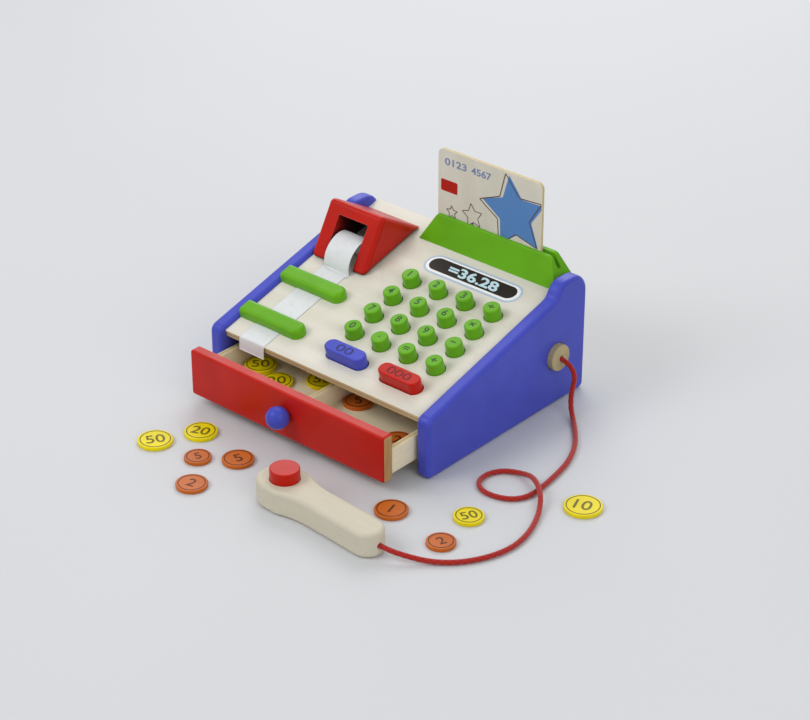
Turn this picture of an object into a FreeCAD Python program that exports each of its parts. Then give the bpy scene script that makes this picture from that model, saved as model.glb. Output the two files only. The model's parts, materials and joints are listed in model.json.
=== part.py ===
"""Wooden toy cash register with a drawer, sprung keys, a paper roll, a play card and a corded scanner.

Millimetres. X points to the right, Y to the back and Z up. The origin is the middle of the footprint,
on the underside of the base panel. Slope coordinates belong to the sloped keyboard deck: s runs up the
slope from the front plane of the side panels and n stands out of the deck's upper face.
"""
import FreeCAD, Part
import math
import os
import Sketcher

Vector = FreeCAD.Vector
doc = FreeCAD.newDocument("toy_register")

# ---------------------------------------------------------------- driving sizes
SIZES = {
    # cabinet
    "overall_width": 220.0, "depth": 182.0, "panel_thick": 12.0, "front_height": 49.0, "slope": 15.2,
    "panel_round": 3.4, "front_corner": 7.0, "horn_rise": 11.7, "horn_deep": 37.5, "horn_lean": 7.0,
    "bottom_round": 5.0, "horn_foot_round": 8.0, "horn_front_round": 13.0, "horn_back_round": 16.0,
    "deck_thick": 5.5, "deck_drop": 3.7, "deck_setback": 5.0, "deck_back_gap": 2.5, "base_thick": 5.5,
    "base_setback": 14.0, "back_thick": 5.5, "back_inset": 3.0, "dowel_radius": 2.0, "dowel_depth": 8.0,
    "dowel_fit": 0.05, "blind_gap": 0.1, "base_dowel_inset": 22.0, "base_dowel_step": 48.4,
    "back_dowel_low": 24.0, "back_dowel_high": 62.0, "deck_dowel_first": 20.0, "deck_dowel_step": 62.0,
    # keys
    "key_side": 103.0, "key_row_gap": 24.0, "key_pitch_x": 26.6, "key_pitch_s": 22.4, "key_radius": 6.9,
    "key_taper": 0.4, "key_rise": 9.4, "key_round": 1.2, "key_hole_gap": 0.6, "flange_extra": 1.7,
    "flange_thick": 1.5, "flange_gap": 0.2, "stem_radius": 2.4, "stem_fit": 0.08,
    "stem_reach": 2.6, "long_key_length": 37.6, "long_key_width": 12.4, "long_key_front": 21.7,
    "long_gap": 0.8, "long_stem_spread": 12.0, "spring_radius": 3.5, "spring_wire": 0.35,
    "tray_gap": 4.8, "tray_thick": 3.5, "tray_reach": 14.9, "tray_side": 19.0, "tray_rail_width": 6.0,
    # receipt housing, roll, paper and bars
    "housing_length": 56.0, "housing_deep": 84.0, "housing_half": 36.0, "housing_round": 4.0,
    "housing_toe": 2.2, "housing_leg": 14.0, "mouth_width": 30.0, "mouth_height": 28.5,
    "roof_thick": 7.0, "roll_radius": 7.0, "roll_back": 24.5, "roll_n": 7.6, "roll_side_gap": 1.6,
    "core_radius": 4.0, "axle_radius": 2.5, "axle_fit": 0.08, "axle_bite": 9.0, "paper_width": 25.6,
    "paper_thick": 0.3, "paper_gap": 0.05, "paper_back": 4.5, "flap_drop": 9.2, "bar_length": 60.0,
    "bar_width": 14.2, "bar_rise": 8.0, "bar_end_round": 6.9, "bar_edge": 3.2, "lower_bar_s": 22.5,
    "upper_bar_s": 69.6, "bar_slot": 0.8, "bar_slot_side": 1.4,
    # card rail and card
    "rail_length": 133.6, "rail_side_gap": 0.4, "rail_deep": 23.0, "rail_top_deep": 9.0,
    "rail_edge": 1.2, "rail_rise": 18.0, "rail_end_lean": 11.0, "rail_round": 4.5, "card_width": 101.0,
    "card_height": 64.0, "card_thick": 2.8, "card_round": 5.0, "card_side": 73.1, "card_back": 5.1,
    "card_depth": 10.0, "card_side_gap": 0.3, "card_foot_gap": 0.3,
    # display
    "display_length": 87.0, "display_width": 15.0, "display_thick": 0.5, "display_shift": 38.5,
    "display_gap": 18.3,
    # drawer
    "drawer_open": 29.0, "drawer_limit": 33.0, "front_side_gap": 0.6, "front_thick": 8.4,
    "front_low": 8.0, "front_top_gap": 3.0, "flap_clear": 0.8, "front_round": 1.8, "front_bend": 2.5,
    "box_side_gap": 2.2, "box_thick": 5.0, "box_low": 11.8, "box_top_gap": 17.2, "box_back_room": 32.0,
    "floor_thick": 3.0, "floor_lift": 0.8, "divider_x": 2.0, "divider_thick": 4.5, "runner_width": 8.0,
    "runner_gap": 0.3, "knob_radius": 8.8, "knob_flat": 1.3, "knob_rise": 1.2, "knob_peg_radius": 2.5,
    "knob_bite": 6.0, "stop_side": 38.0, "stop_radius": 3.0, "stop_low": 27.8, "stop_gap": 0.3,
    "stop_bite": 3.0, "coin_thick": 3.0,
    "coin_round": 0.6,
    # cord outlet
    "plug_from_back": 35.7, "plug_z": 41.4, "plug_radius": 10.5, "plug_gap": 0.5, "plug_proud": 5.0,
    "plug_round": 1.2, "knot_room": 4.7, "knot_step": 10.0, "plug_flange": 13.8,
    "plug_flange_thick": 1.6, "cord_radius": 2.0, "cord_gap": 0.2, "knot_radius": 4.2,
    # scanner
    "scanner_x": 47.0, "scanner_y": -177.6, "scanner_turn": -4.2, "scanner_head": 17.5,
    "head_stretch": 9.0, "scanner_tail_x": 88.6, "scanner_tail": 12.1, "scanner_neck": 70.0,
    "scanner_thick": 20.0, "scanner_round": 3.4, "button_x": 4.6, "button_radius": 11.0,
    "button_gap": 0.3, "button_rise": 9.0, "button_round": 0.8,
    "button_flange": 12.8, "button_flange_low": 7.8, "button_flange_thick": 2.0, "chamber_radius": 13.2,
    "chamber_top": 10.0, "cap_thick": 2.5, "button_coil": 6.0, "button_wire": 0.4, "bore_depth": 15.0,
    "cord_height": 9.0,
}
DERIVED = {
    "slope_cos": "cos(slope * 1deg)", "slope_sin": "sin(slope * 1deg)", "slope_tan": "tan(slope * 1deg)",
    "front_y": "-depth / 2", "inner_half": "overall_width / 2 - panel_thick",
    "deck_z": "front_height - deck_drop / slope_cos",
    "deck_first": "deck_setback / slope_cos", "deck_last": "(depth - deck_back_gap) / slope_cos",
    "horn_start": "depth - horn_deep", "box_length": "depth - box_back_room",
    "horn_height": "front_height + horn_start * slope_tan + horn_rise",
    "front_high": "front_height - front_top_gap", "box_high": "front_height - box_top_gap",
    "knob_z": "(front_low + front_high) / 2 + knob_rise", "stop_x": "stop_side - inner_half",
    "plug_y": "depth / 2 - plug_from_back",
    "key_first_x": "inner_half - key_side", "long_key_s": "deck_first + long_key_front",
    "key_first_s": "long_key_s + key_row_gap + 3 * key_pitch_s",
    "tray_front": "long_key_s - tray_reach", "tray_back": "key_first_s + tray_reach",
    "tray_left": "key_first_x - tray_side",
    "housing_front": "deck_last - housing_deep", "roll_s": "housing_front + roll_back",
    "paper_touch": "housing_front + paper_back",
    "rail_right": "inner_half - rail_side_gap", "rail_left": "rail_right - rail_length",
    "rail_back": "deck_last", "rail_front": "rail_back - rail_deep",
    "rail_top_front": "rail_back - rail_top_deep",
    "card_x": "rail_right - card_side", "card_s": "rail_back - card_back",
    "display_x": "key_first_x + display_shift", "display_s": "rail_front - display_gap",
    "key_hole": "key_radius + key_hole_gap", "flange_radius": "key_radius + flange_extra",
    "flange_top": "-deck_thick - flange_gap", "flange_low": "flange_top - flange_thick",
    "tray_top": "flange_low - tray_gap", "tray_low": "tray_top - tray_thick",
    "housing_left": "-inner_half",
    "mouth_left": "housing_left + housing_leg", "mouth_right": "mouth_left + mouth_width",
    "roll_length": "mouth_width - 2 * roll_side_gap", "paper_x": "(mouth_left + mouth_right) / 2",
    "front_rest_y": "front_y + deck_setback - flap_clear - front_thick - drawer_open",
    "front_back_y": "front_rest_y + front_thick", "front_half": "inner_half - front_side_gap",
    "box_half": "inner_half - box_side_gap", "box_end_y": "front_back_y + box_length",
    "floor_low": "box_low + floor_lift", "floor_top": "floor_low + floor_thick",
    "back_face_y": "front_y + depth - back_inset",
    "back_high": "deck_z + (depth - back_inset - back_thick) * slope_tan - deck_thick / slope_cos",
    "back_high_rear": "deck_z + (depth - back_inset) * slope_tan - deck_thick / slope_cos",
    "flap_y": "deck_first * slope_cos - paper_gap",
    "roll_reach": "sqrt((roll_s - paper_touch) ^ 2 + (roll_n - paper_gap) ^ 2)",
    "roll_keep": "roll_radius + 2 * paper_gap",
    "ramp_turn": "atan((roll_n - paper_gap) / (roll_s - paper_touch)) + asin(roll_keep / roll_reach)",
    "ramp_length": "sqrt(roll_reach ^ 2 - roll_keep ^ 2)",
    "ramp_cos": "cos(ramp_turn)", "ramp_sin": "sin(ramp_turn)",
    "ramp_end_s": "paper_touch + ramp_length * ramp_cos",
    "ramp_end_n": "paper_gap + ramp_length * ramp_sin",
    "ramp_half": "tan(ramp_turn / 2)", "top_n": "paper_gap + paper_thick",
    "stop_meet": "box_end_y - box_thick - drawer_limit - stop_gap - front_y",
    "stop_s": "slope_cos * (stop_meet - stop_radius * slope_cos - (deck_z - stop_low) * slope_tan)",
    "stop_length": "(deck_z + stop_s * slope_sin - stop_low) / slope_cos",
    "plug_back": "inner_half - plug_flange_thick", "plug_face": "overall_width / 2 + plug_proud",
    "knot_stop": "inner_half + knot_step", "cord_bore": "cord_radius + cord_gap",
    "knot_x": "knot_stop - sqrt(knot_radius ^ 2 - cord_bore ^ 2)",
    "card_y": "front_y + card_s * slope_cos - rail_rise * slope_sin",
    "rail_top_z": "deck_z + card_s * slope_sin + rail_rise * slope_cos",
    "slot_width": "card_thick + 2 * card_side_gap", "card_floor_z": "rail_top_z - card_depth",
}
sheet = doc.addObject("Spreadsheet::Sheet", "Sheet")
for row, (alias, value) in enumerate(SIZES.items(), start=1):
    sheet.set("A%d" % row, alias.replace("_", " "))
    sheet.set("B%d" % row, str(value))
    sheet.setAlias("B%d" % row, alias)
for row, (alias, formula) in enumerate(DERIVED.items(), start=1):
    sheet.set("D%d" % row, alias.replace("_", " "))
    sheet.set("E%d" % row, "=" + formula)
    sheet.setAlias("E%d" % row, alias)
doc.recompute()


def value(alias):
    """The number that the sheet holds under an alias."""
    return float(sheet.get(alias))


def ref(formula):
    """A formula on sheet aliases, as the text that setExpression takes."""
    words = []
    word = ""
    for letter in str(formula) + " ":
        if letter.isalnum() or letter in "_.":
            word += letter
            continue
        known = word in SIZES or word in DERIVED
        words.append("Sheet." + word if known else word)
        words.append(letter)
        word = ""
    return "".join(words).strip()


def bind(thing, **formulas):
    """Ties properties of an object to the sheet."""
    for name, formula in formulas.items():
        thing.setExpression(name.replace("__", "."), ref(formula))
    return thing


# ---------------------------------------------------------------- small modelling helpers
TURNS = {
    "x": FreeCAD.Rotation(Vector(0, 1, 0), 90),
    "y": FreeCAD.Rotation(Vector(1, 0, 0), -90),
    "z": FreeCAD.Rotation(),
}


def new_body(name, x="0", y="0", z="0"):
    """A body with its own label, placed in the frame of the register."""
    body = doc.addObject("PartDesign::Body", name)
    body.Label = name
    return bind(body, Placement__Base__x=x, Placement__Base__y=y, Placement__Base__z=z)


def deck_body(name, x="0", s="0", n="0"):
    """A body whose local axes are X, up the slope and out of the deck."""
    body = doc.addObject("PartDesign::Body", name)
    body.Label = name
    body.Placement = FreeCAD.Placement(Vector(), FreeCAD.Rotation(Vector(1, 0, 0), SIZES["slope"]))
    bind(body, Placement__Rotation__Angle="slope * 1deg", Placement__Base__x=x)
    bind(body, Placement__Base__y="front_y + (%s) * slope_cos - (%s) * slope_sin" % (s, n))
    return bind(body, Placement__Base__z="deck_z + (%s) * slope_sin + (%s) * slope_cos" % (s, n))


def place(feature, at):
    """Puts a feature at a point of its body given by three formulas."""
    return bind(feature, Placement__Base__x=at[0], Placement__Base__y=at[1], Placement__Base__z=at[2])


def block(body, at, size, cut=False):
    """A box with its lowest corner at a point, added to the body or cut out of it."""
    feature = body.newObject("PartDesign::%sBox" % ("Subtractive" if cut else "Additive"), "Block")
    bind(feature, Length=size[0], Width=size[1], Height=size[2])
    return place(feature, at)


def rod(body, at, radius, length, along="z", cut=False):
    """A cylinder from a point along an axis, added to the body or cut out of it."""
    feature = body.newObject("PartDesign::%sCylinder" % ("Subtractive" if cut else "Additive"), "Rod")
    feature.Placement = FreeCAD.Placement(Vector(), TURNS[along])
    bind(feature, Radius=radius, Height=length)
    return place(feature, at)


def stadium(body, at, length, width, height, cut=False):
    """A bar with half-round ends along X, centred on a point and standing up from it."""
    x, y, z = at
    straight = "((%s) - (%s)) / 2" % (length, width)
    block(body, ("(%s) - %s" % (x, straight), "(%s) - (%s) / 2" % (y, width), z),
          ("2 * " + straight, width, height), cut)
    rod(body, ("(%s) - %s" % (x, straight), y, z), "(%s) / 2" % width, height, "z", cut)
    return rod(body, ("(%s) + %s" % (x, straight), y, z), "(%s) / 2" % width, height, "z", cut)


def origin_plane(body, role):
    """One of the body's own origin planes."""
    return [plane for plane in body.Origin.OriginFeatures if plane.Role == role][0]


def outline(body, role, points, shift="0"):
    """A sketch of a closed polygon whose corners are formulas, on an origin plane of the body."""
    sketch = body.newObject("Sketcher::SketchObject", "Outline")
    sketch.AttachmentSupport = [(origin_plane(body, role), "")]
    sketch.MapMode = "FlatFace"
    bind(sketch, AttachmentOffset__Base__z=shift)
    count = len(points)
    ring = [Vector(50 * math.cos(2 * math.pi * i / count), 50 * math.sin(2 * math.pi * i / count), 0)
            for i in range(count)]
    for i in range(count):
        sketch.addGeometry(Part.LineSegment(ring[i], ring[(i + 1) % count]))
    for i in range(count):
        sketch.addConstraint(Sketcher.Constraint("Coincident", i, 2, (i + 1) % count, 1))
    for i, (across, up) in enumerate(points):
        for kind, formula, start in (("DistanceX", across, ring[i].x), ("DistanceY", up, ring[i].y)):
            index = sketch.addConstraint(Sketcher.Constraint(kind, i, 1, start))
            sketch.setExpression("Constraints[%d]" % index, ref(formula))
    return sketch


def pad(body, sketch, length):
    """Pads a sketch by a length."""
    feature = body.newObject("PartDesign::Pad", "Pad")
    feature.Profile = sketch
    return bind(feature, Length=length)


def pocket(body, sketch, length):
    """Cuts a sketch through the body, both ways from its plane."""
    feature = body.newObject("PartDesign::Pocket", "Pocket")
    feature.Profile = sketch
    feature.Midplane = True
    return bind(feature, Length=length)


def fillet(body, test, radius):
    """Rounds the edges of the body's tip that pass a test."""
    doc.recompute()
    base = body.Tip
    names = ["Edge%d" % i for i, edge in enumerate(base.Shape.Edges, start=1) if test(edge)]
    feature = body.newObject("PartDesign::Fillet", "Round")
    feature.Base = (base, names)
    return bind(feature, Radius=radius)


def runs(edge, axis):
    """True for a straight edge parallel to an axis given by its letter."""
    box = edge.BoundBox
    spans = {"x": box.XLength, "y": box.YLength, "z": box.ZLength}
    others = [span for letter, span in spans.items() if letter != axis]
    return spans[axis] > 0.01 and max(others) < 1e-4


def level(edge):
    """True for an edge that stays at one height."""
    return edge.BoundBox.ZLength < 1e-4


def near(number, target):
    """True within a hundredth of a millimetre."""
    return abs(number - target) < 0.01


# ---------------------------------------------------------------- node list and groups
nodes = {}


def node(name, thing):
    """Registers a finished object under the name its file will carry."""
    thing.Label = name
    nodes[name] = thing
    return thing


def group(name, things):
    """One node made of several separate solids."""
    compound = doc.addObject("Part::Compound", name)
    compound.Links = things
    return node(name, compound)


# ---------------------------------------------------------------- side panels
DOWEL_N = "-deck_thick / 2"
base_dowels = ["front_y + base_setback + base_dowel_inset + base_dowel_step * %d" % k for k in range(3)]
deck_dowels = ["deck_dowel_first + deck_dowel_step * %d" % k for k in range(3)]
deck_spots = [("front_y + (%s) * slope_cos - (%s) * slope_sin" % (s, DOWEL_N),
               "deck_z + (%s) * slope_sin + (%s) * slope_cos" % (s, DOWEL_N)) for s in deck_dowels]
back_spots = [("back_face_y - back_thick / 2", z) for z in ("back_dowel_low", "back_dowel_high")]
dowel_spots = [(y, "base_thick / 2") for y in base_dowels] + deck_spots + back_spots
for name, left, sign in (("left_side_panel", "-overall_width / 2", -1),
                         ("right_side_panel", "inner_half", 1)):
    panel = new_body(name, left, "front_y")
    corners = [("0", "0"), ("0", "front_height"), ("horn_start", "front_height + horn_start * slope_tan"),
               ("horn_start + horn_lean", "horn_height"), ("depth", "horn_height"), ("depth", "0")]
    pad(panel, outline(panel, "YZ_Plane", corners), "panel_thick")
    horn_y, lean_y = value("horn_start"), value("horn_start") + value("horn_lean")
    rear_y = value("depth")
    for at_y, at_high, radius in ((0.0, True, "front_corner"), (0.0, False, "bottom_round"),
                                  (rear_y, False, "bottom_round"), (horn_y, True, "horn_foot_round"),
                                  (lean_y, True, "horn_front_round"), (rear_y, True, "horn_back_round")):
        fillet(panel, lambda e: runs(e, "x") and near(e.BoundBox.YMin, at_y)
               and (e.BoundBox.ZMin > 1) == at_high, radius)
    fillet(panel, lambda e: e.BoundBox.XLength < 1e-4, "panel_round")
    inner = "panel_thick - dowel_depth" if sign < 0 else "0"
    for y, z in dowel_spots:
        rod(panel, (inner, "(%s) - front_y" % y, z), "dowel_radius + dowel_fit", "dowel_depth", "x", True)
    if sign > 0:
        rod(panel, ("-1", "plug_y - front_y", "plug_z"), "plug_radius + plug_gap", "panel_thick + 2", "x",
            True)
    node(name, panel)

# ---------------------------------------------------------------- base, back, dowels, runners
base = new_body("base_panel", "-inner_half", "front_y + base_setback")
block(base, ("0", "0", "0"), ("2 * inner_half", "back_face_y - front_y - base_setback", "base_thick"))
back = new_body("back_panel", "-inner_half", "back_face_y")
rear = [("-back_thick", "base_thick"), ("0", "base_thick"), ("0", "back_high_rear"),
        ("-back_thick", "back_high")]
pad(back, outline(back, "YZ_Plane", rear), "2 * inner_half")
for left in ("-0.001", "2 * inner_half - dowel_depth"):
    for y in base_dowels:
        rod(base, (left, "(%s) - front_y - base_setback" % y, "base_thick / 2"), "dowel_radius + dowel_fit",
            "dowel_depth + 0.001", "x", True)
    for y, z in back_spots:
        rod(back, (left, "(%s) - back_face_y" % y, z), "dowel_radius + dowel_fit", "dowel_depth + 0.001",
            "x", True)
node("base_panel", base)
node("back_panel", back)
pegs = []
for side in ("-inner_half - dowel_depth", "inner_half - dowel_depth"):
    for y, z in dowel_spots:
        peg = new_body("dowel_%d" % len(pegs), side, y, z)
        rod(peg, ("0", "0", "0"), "dowel_radius", "2 * dowel_depth", "x")
        pegs.append(peg)
group("panel_dowels", pegs)
strips = []
for left in ("-inner_half", "inner_half - runner_width"):
    strip = new_body("runner_%d" % len(strips), left, "front_y + base_setback", "base_thick")
    block(strip, ("0", "0", "0"), ("runner_width", "back_face_y - back_thick - front_y - base_setback",
                                   "box_low - runner_gap - base_thick"))
    strips.append(strip)
group("drawer_runners", strips)

# ---------------------------------------------------------------- deck with its key holes
KEY_NAMES = [["one", "two", "three", "divide"], ["four", "five", "six", "times"],
             ["seven", "eight", "nine", "minus"], ["zero", "point", "equals", "plus"]]
key_spots = []
for row, names in enumerate(KEY_NAMES):
    for column, word in enumerate(names):
        key_spots.append(("key_" + word, "key_first_x + key_pitch_x * %d" % column,
                          "key_first_s - key_pitch_s * %d" % row))
long_spots = [("blue_long_key", "key_first_x + key_pitch_x / 2"),
              ("red_long_key", "key_first_x + key_pitch_x * 2.5")]
deck = deck_body("keyboard_deck")
block(deck, ("-inner_half", "deck_first", "-deck_thick"), ("2 * inner_half", "deck_last - deck_first",
                                                           "deck_thick"))
for name, x, s in key_spots:
    rod(deck, (x, s, "-deck_thick - 1"), "key_hole", "deck_thick + 2", "z", True)
for name, x in long_spots:
    stadium(deck, (x, "long_key_s", "-deck_thick - 1"), "long_key_length + 2 * long_gap",
            "long_key_width + 2 * long_gap", "deck_thick + 2", True)
for left in ("-inner_half - 0.001", "inner_half - dowel_depth"):
    for s in deck_dowels:
        rod(deck, (left, s, DOWEL_N), "dowel_radius + dowel_fit", "dowel_depth + 0.001", "x", True)
rod(deck, ("stop_x", "stop_s", "-deck_thick - 0.001"), "stop_radius + dowel_fit", "stop_bite", "z", True)
node("keyboard_deck", deck)
stop = deck_body("drawer_stop", "stop_x", "stop_s", "-stop_length")
rod(stop, ("0", "0", "0"), "stop_radius", "stop_length - deck_thick + stop_bite - blind_gap")
node("drawer_stop", stop)

# ---------------------------------------------------------------- keys, tray and springs
tray = deck_body("key_tray")
block(tray, ("tray_left", "tray_front", "tray_low"), ("inner_half - tray_left", "tray_back - tray_front",
                                                      "tray_thick"))
spring_spots = []
for name, x, s in key_spots:
    key = deck_body(name, x, s)
    rod(key, ("0", "0", "tray_top - stem_reach"), "stem_radius", "stem_reach + key_rise / 2 - tray_top")
    rod(key, ("0", "0", "flange_low"), "flange_radius", "flange_thick")
    rod(key, ("0", "0", "flange_low"), "key_radius", "-flange_low")
    cap = key.newObject("PartDesign::AdditiveCone", "Cap")
    bind(cap, Radius1="key_radius", Radius2="key_radius - key_taper", Height="key_rise")
    fillet(key, lambda e: near(e.BoundBox.ZMin, value("key_rise")) and level(e), "key_round")
    node(name, key)
    spring_spots.append((x, s))
for name, x in long_spots:
    key = deck_body(name, x, "long_key_s")
    stadium(key, ("0", "0", "flange_low"), "long_key_length", "long_key_width", "key_rise - flange_low")
    stadium(key, ("0", "0", "flange_low"), "long_key_length + 2 * flange_extra",
            "long_key_width + 2 * flange_extra", "flange_thick")
    for side in ("-long_stem_spread", "long_stem_spread"):
        rod(key, (side, "0", "tray_top - stem_reach"), "stem_radius", "stem_reach - tray_top")
        spring_spots.append(("(%s) + (%s)" % (x, side), "long_key_s"))
    fillet(key, lambda e: near(e.BoundBox.ZMin, value("key_rise")) and level(e), "key_round")
    node(name, key)
for x, s in spring_spots:
    rod(tray, (x, s, "tray_low - 1"), "stem_radius + stem_fit", "tray_thick + 2", "z", True)
node("key_tray", tray)
rails = []
for left in ("tray_left", "inner_half - tray_rail_width"):
    rail = deck_body("tray_rail_%d" % len(rails), left)
    block(rail, ("0", "tray_front", "tray_top"), ("tray_rail_width", "tray_back - tray_front",
                                                  "-deck_thick - tray_top"))
    rails.append(rail)
group("tray_rails", rails)


def spring(coil, radius, wire, room):
    """The sleeve that a coil of wire fills, standing on its body's origin."""
    rod(coil, ("0", "0", "0"), "(%s) + (%s)" % (radius, wire), room)
    rod(coil, ("0", "0", "-1"), "(%s) - (%s)" % (radius, wire), "(%s) + 2" % room, "z", True)
    return coil


coils = []
for x, s in spring_spots:
    coil = deck_body("key_spring_%d" % len(coils), x, s, "tray_top")
    coils.append(spring(coil, "spring_radius", "spring_wire", "tray_gap"))
group("key_springs", coils)

# ---------------------------------------------------------------- receipt housing, roll and paper
housing = deck_body("receipt_housing")
peak_s, peak_n = "housing_front + housing_half", "housing_half"
gable = [("housing_front", "0"), (peak_s, peak_n), ("housing_front + 2 * housing_half", "0")]
pad(housing, outline(housing, "YZ_Plane", gable, "housing_left"), "housing_length")
fillet(housing, lambda e: runs(e, "x") and e.BoundBox.ZMin < 1 and e.BoundBox.YMax < value("roll_s"),
       "housing_toe")
fillet(housing, lambda e: not (e.BoundBox.ZMax < 0.1 and e.BoundBox.ZMin < 0.1), "housing_round")
inside = "housing_front + 2 * housing_half - roof_thick * 2 ^ 0.5"
hollow = [("housing_front - roof_thick", "-1"), ("housing_front - roof_thick", "mouth_height"),
          ("%s - mouth_height" % inside, "mouth_height"), ("%s + 1" % inside, "-1")]
sketch = outline(housing, "YZ_Plane", hollow, "(mouth_left + mouth_right) / 2")
pocket(housing, sketch, "mouth_width")
rod(housing, ("mouth_left - axle_bite", "roll_s", "roll_n"), "axle_radius + axle_fit",
    "mouth_width + 2 * axle_bite", "x", True)
node("receipt_housing", housing)
axle = deck_body("roll_axle", "mouth_left - axle_bite + blind_gap", "roll_s", "roll_n")
rod(axle, ("0", "0", "0"), "axle_radius", "mouth_width + 2 * (axle_bite - blind_gap)", "x")
node("roll_axle", axle)
for name, outer, hole in (("paper_roll", "roll_radius", "core_radius + 0.01"),
                          ("paper_core", "core_radius", "axle_radius + axle_fit")):
    tube = deck_body(name, "mouth_left + roll_side_gap", "roll_s", "roll_n")
    rod(tube, ("0", "0", "0"), outer, "roll_length", "x")
    rod(tube, ("-1", "0", "0"), hole, "roll_length + 2", "x", True)
    node(name, tube)


def deck_point(s, n):
    """A point of the slope as formulas for height and distance from the deck's own origin."""
    return ("(%s) * slope_cos - (%s) * slope_sin" % (s, n), "(%s) * slope_sin + (%s) * slope_cos" % (s, n))


paper = new_body("paper_strip", "paper_x - paper_width / 2", "front_y", "deck_z")
strip_edge = [("flap_y", "-flap_drop"), ("flap_y - paper_thick", "-flap_drop"),
              ("flap_y - paper_thick", "(top_n + (flap_y - paper_thick) * slope_sin) / slope_cos"),
              deck_point("paper_touch - paper_thick * ramp_half", "top_n"),
              deck_point("ramp_end_s - paper_thick * ramp_sin", "ramp_end_n + paper_thick * ramp_cos"),
              deck_point("ramp_end_s", "ramp_end_n"), deck_point("paper_touch", "paper_gap"),
              ("flap_y", "(paper_gap + flap_y * slope_sin) / slope_cos")]
pad(paper, outline(paper, "YZ_Plane", strip_edge), "paper_width")
node("paper_strip", paper)
for name, s in (("lower_paper_bar", "lower_bar_s"), ("upper_paper_bar", "upper_bar_s")):
    bar = deck_body(name, "-inner_half", s)
    block(bar, ("0", "0", "0"), ("bar_length", "bar_width", "bar_rise"))
    fillet(bar, lambda e: runs(e, "z") and near(e.BoundBox.XMin, value("bar_length")), "bar_end_round")
    fillet(bar, lambda e: near(e.BoundBox.ZMin, value("bar_rise")) and e.BoundBox.XMax > 1, "bar_edge")
    block(bar, ("paper_x - paper_width / 2 - bar_slot_side + inner_half", "-1", "-1"),
          ("paper_width + 2 * bar_slot_side", "bar_width + 2", "bar_slot + 1"), True)
    node(name, bar)

# ---------------------------------------------------------------- card rail, card and display
rail = deck_body("card_rail")
profile = [("rail_front", "0"), ("rail_top_front", "rail_rise"), ("rail_back", "rail_rise"),
           ("rail_back", "0")]
pad(rail, outline(rail, "YZ_Plane", profile, "rail_left"), "rail_right - rail_left")
for edge, lean, out in (("rail_left", "rail_end_lean", "-5"), ("rail_right", "-rail_end_lean", "5")):
    top, beyond = "%s + %s" % (edge, lean), "%s + %s" % (edge, out)
    wedge = [(edge, "0"), (top, "rail_rise"), (top, "rail_rise + 5"), (beyond, "rail_rise + 5"),
             (beyond, "0")]
    pocket(rail, outline(rail, "XZ_Plane", wedge), "3 * depth")
fillet(rail, lambda e: near(e.BoundBox.ZMin, value("rail_rise")) and e.BoundBox.YLength > 5, "rail_round")
fillet(rail, lambda e: e.BoundBox.ZMin > 1 and e.BoundBox.YLength < 0.1
       and e.BoundBox.XLength > value("rail_length") / 2, "rail_edge")
groove = rail.newObject("PartDesign::SubtractiveBox", "Groove")
groove.Placement = FreeCAD.Placement(Vector(), FreeCAD.Rotation(Vector(1, 0, 0), -SIZES["slope"]))
bind(groove, Length="2 * overall_width", Width="slot_width", Height="2 * card_depth",
     Placement__Rotation__Angle="-slope * 1deg", Placement__Base__x="-overall_width",
     Placement__Base__y="card_s - slot_width / 2 * slope_cos - card_depth * slope_sin",
     Placement__Base__z="rail_rise + slot_width / 2 * slope_sin - card_depth * slope_cos")
node("card_rail", rail)
card = new_body("play_card", "card_x - card_width / 2", "card_y - card_thick / 2",
                "card_floor_z + card_foot_gap")
block(card, ("0", "0", "0"), ("card_width", "card_thick", "card_height"))
fillet(card, lambda e: runs(e, "y"), "card_round")
node("play_card", card)
plate = deck_body("display_plate", "display_x", "display_s")
stadium(plate, ("0", "0", "0"), "display_length", "display_width", "display_thick")
node("display_plate", plate)

# ---------------------------------------------------------------- drawer
front = new_body("drawer_front", "-front_half", "front_rest_y", "front_low")
block(front, ("0", "0", "0"), ("2 * front_half", "front_thick", "front_high - front_low"))
fillet(front, lambda e: runs(e, "y"), "front_bend")
fillet(front, lambda e: e.BoundBox.YMax < 0.01, "front_round")
rod(front, ("front_half", "-1", "knob_z - front_low"), "knob_peg_radius + dowel_fit", "1 + knob_bite", "y",
    True)
node("drawer_front", front)
for name, left in (("drawer_left_side", "-box_half"), ("drawer_right_side", "box_half - box_thick")):
    side = new_body(name, left, "front_back_y", "box_low")
    block(side, ("0", "0", "0"), ("box_thick", "box_length", "box_high - box_low"))
    node(name, side)
clear = "2 * (box_half - box_thick)"
tail = new_body("drawer_back", "-(box_half - box_thick)", "box_end_y - box_thick", "box_low")
block(tail, ("0", "0", "0"), (clear, "box_thick", "box_high - box_low"))
node("drawer_back", tail)
floor = new_body("drawer_floor", "-(box_half - box_thick)", "front_back_y", "floor_low")
block(floor, ("0", "0", "0"), (clear, "box_length - box_thick", "floor_thick"))
node("drawer_floor", floor)
divider = new_body("drawer_divider", "divider_x - divider_thick / 2", "front_back_y", "floor_top")
block(divider, ("0", "0", "0"), ("divider_thick", "box_length - box_thick", "box_high - floor_top"))
node("drawer_divider", divider)
knob = new_body("drawer_knob", "0", "front_rest_y", "knob_z")
ball = knob.newObject("PartDesign::AdditiveSphere", "Ball")
bind(ball, Radius="knob_radius", Placement__Base__y="knob_flat - knob_radius")
block(knob, ("-2 * knob_radius", "0", "-2 * knob_radius"), ("4 * knob_radius", "2 * knob_radius",
                                                          "4 * knob_radius"), True)
rod(knob, ("0", "-knob_bite", "0"), "knob_peg_radius + dowel_fit", "knob_bite + 1", "y", True)
node("drawer_knob", knob)
peg = new_body("knob_peg", "0", "front_rest_y - knob_bite + blind_gap", "knob_z")
rod(peg, ("0", "0", "0"), "knob_peg_radius", "2 * (knob_bite - blind_gap)", "y")
node("knob_peg", peg)


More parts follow.
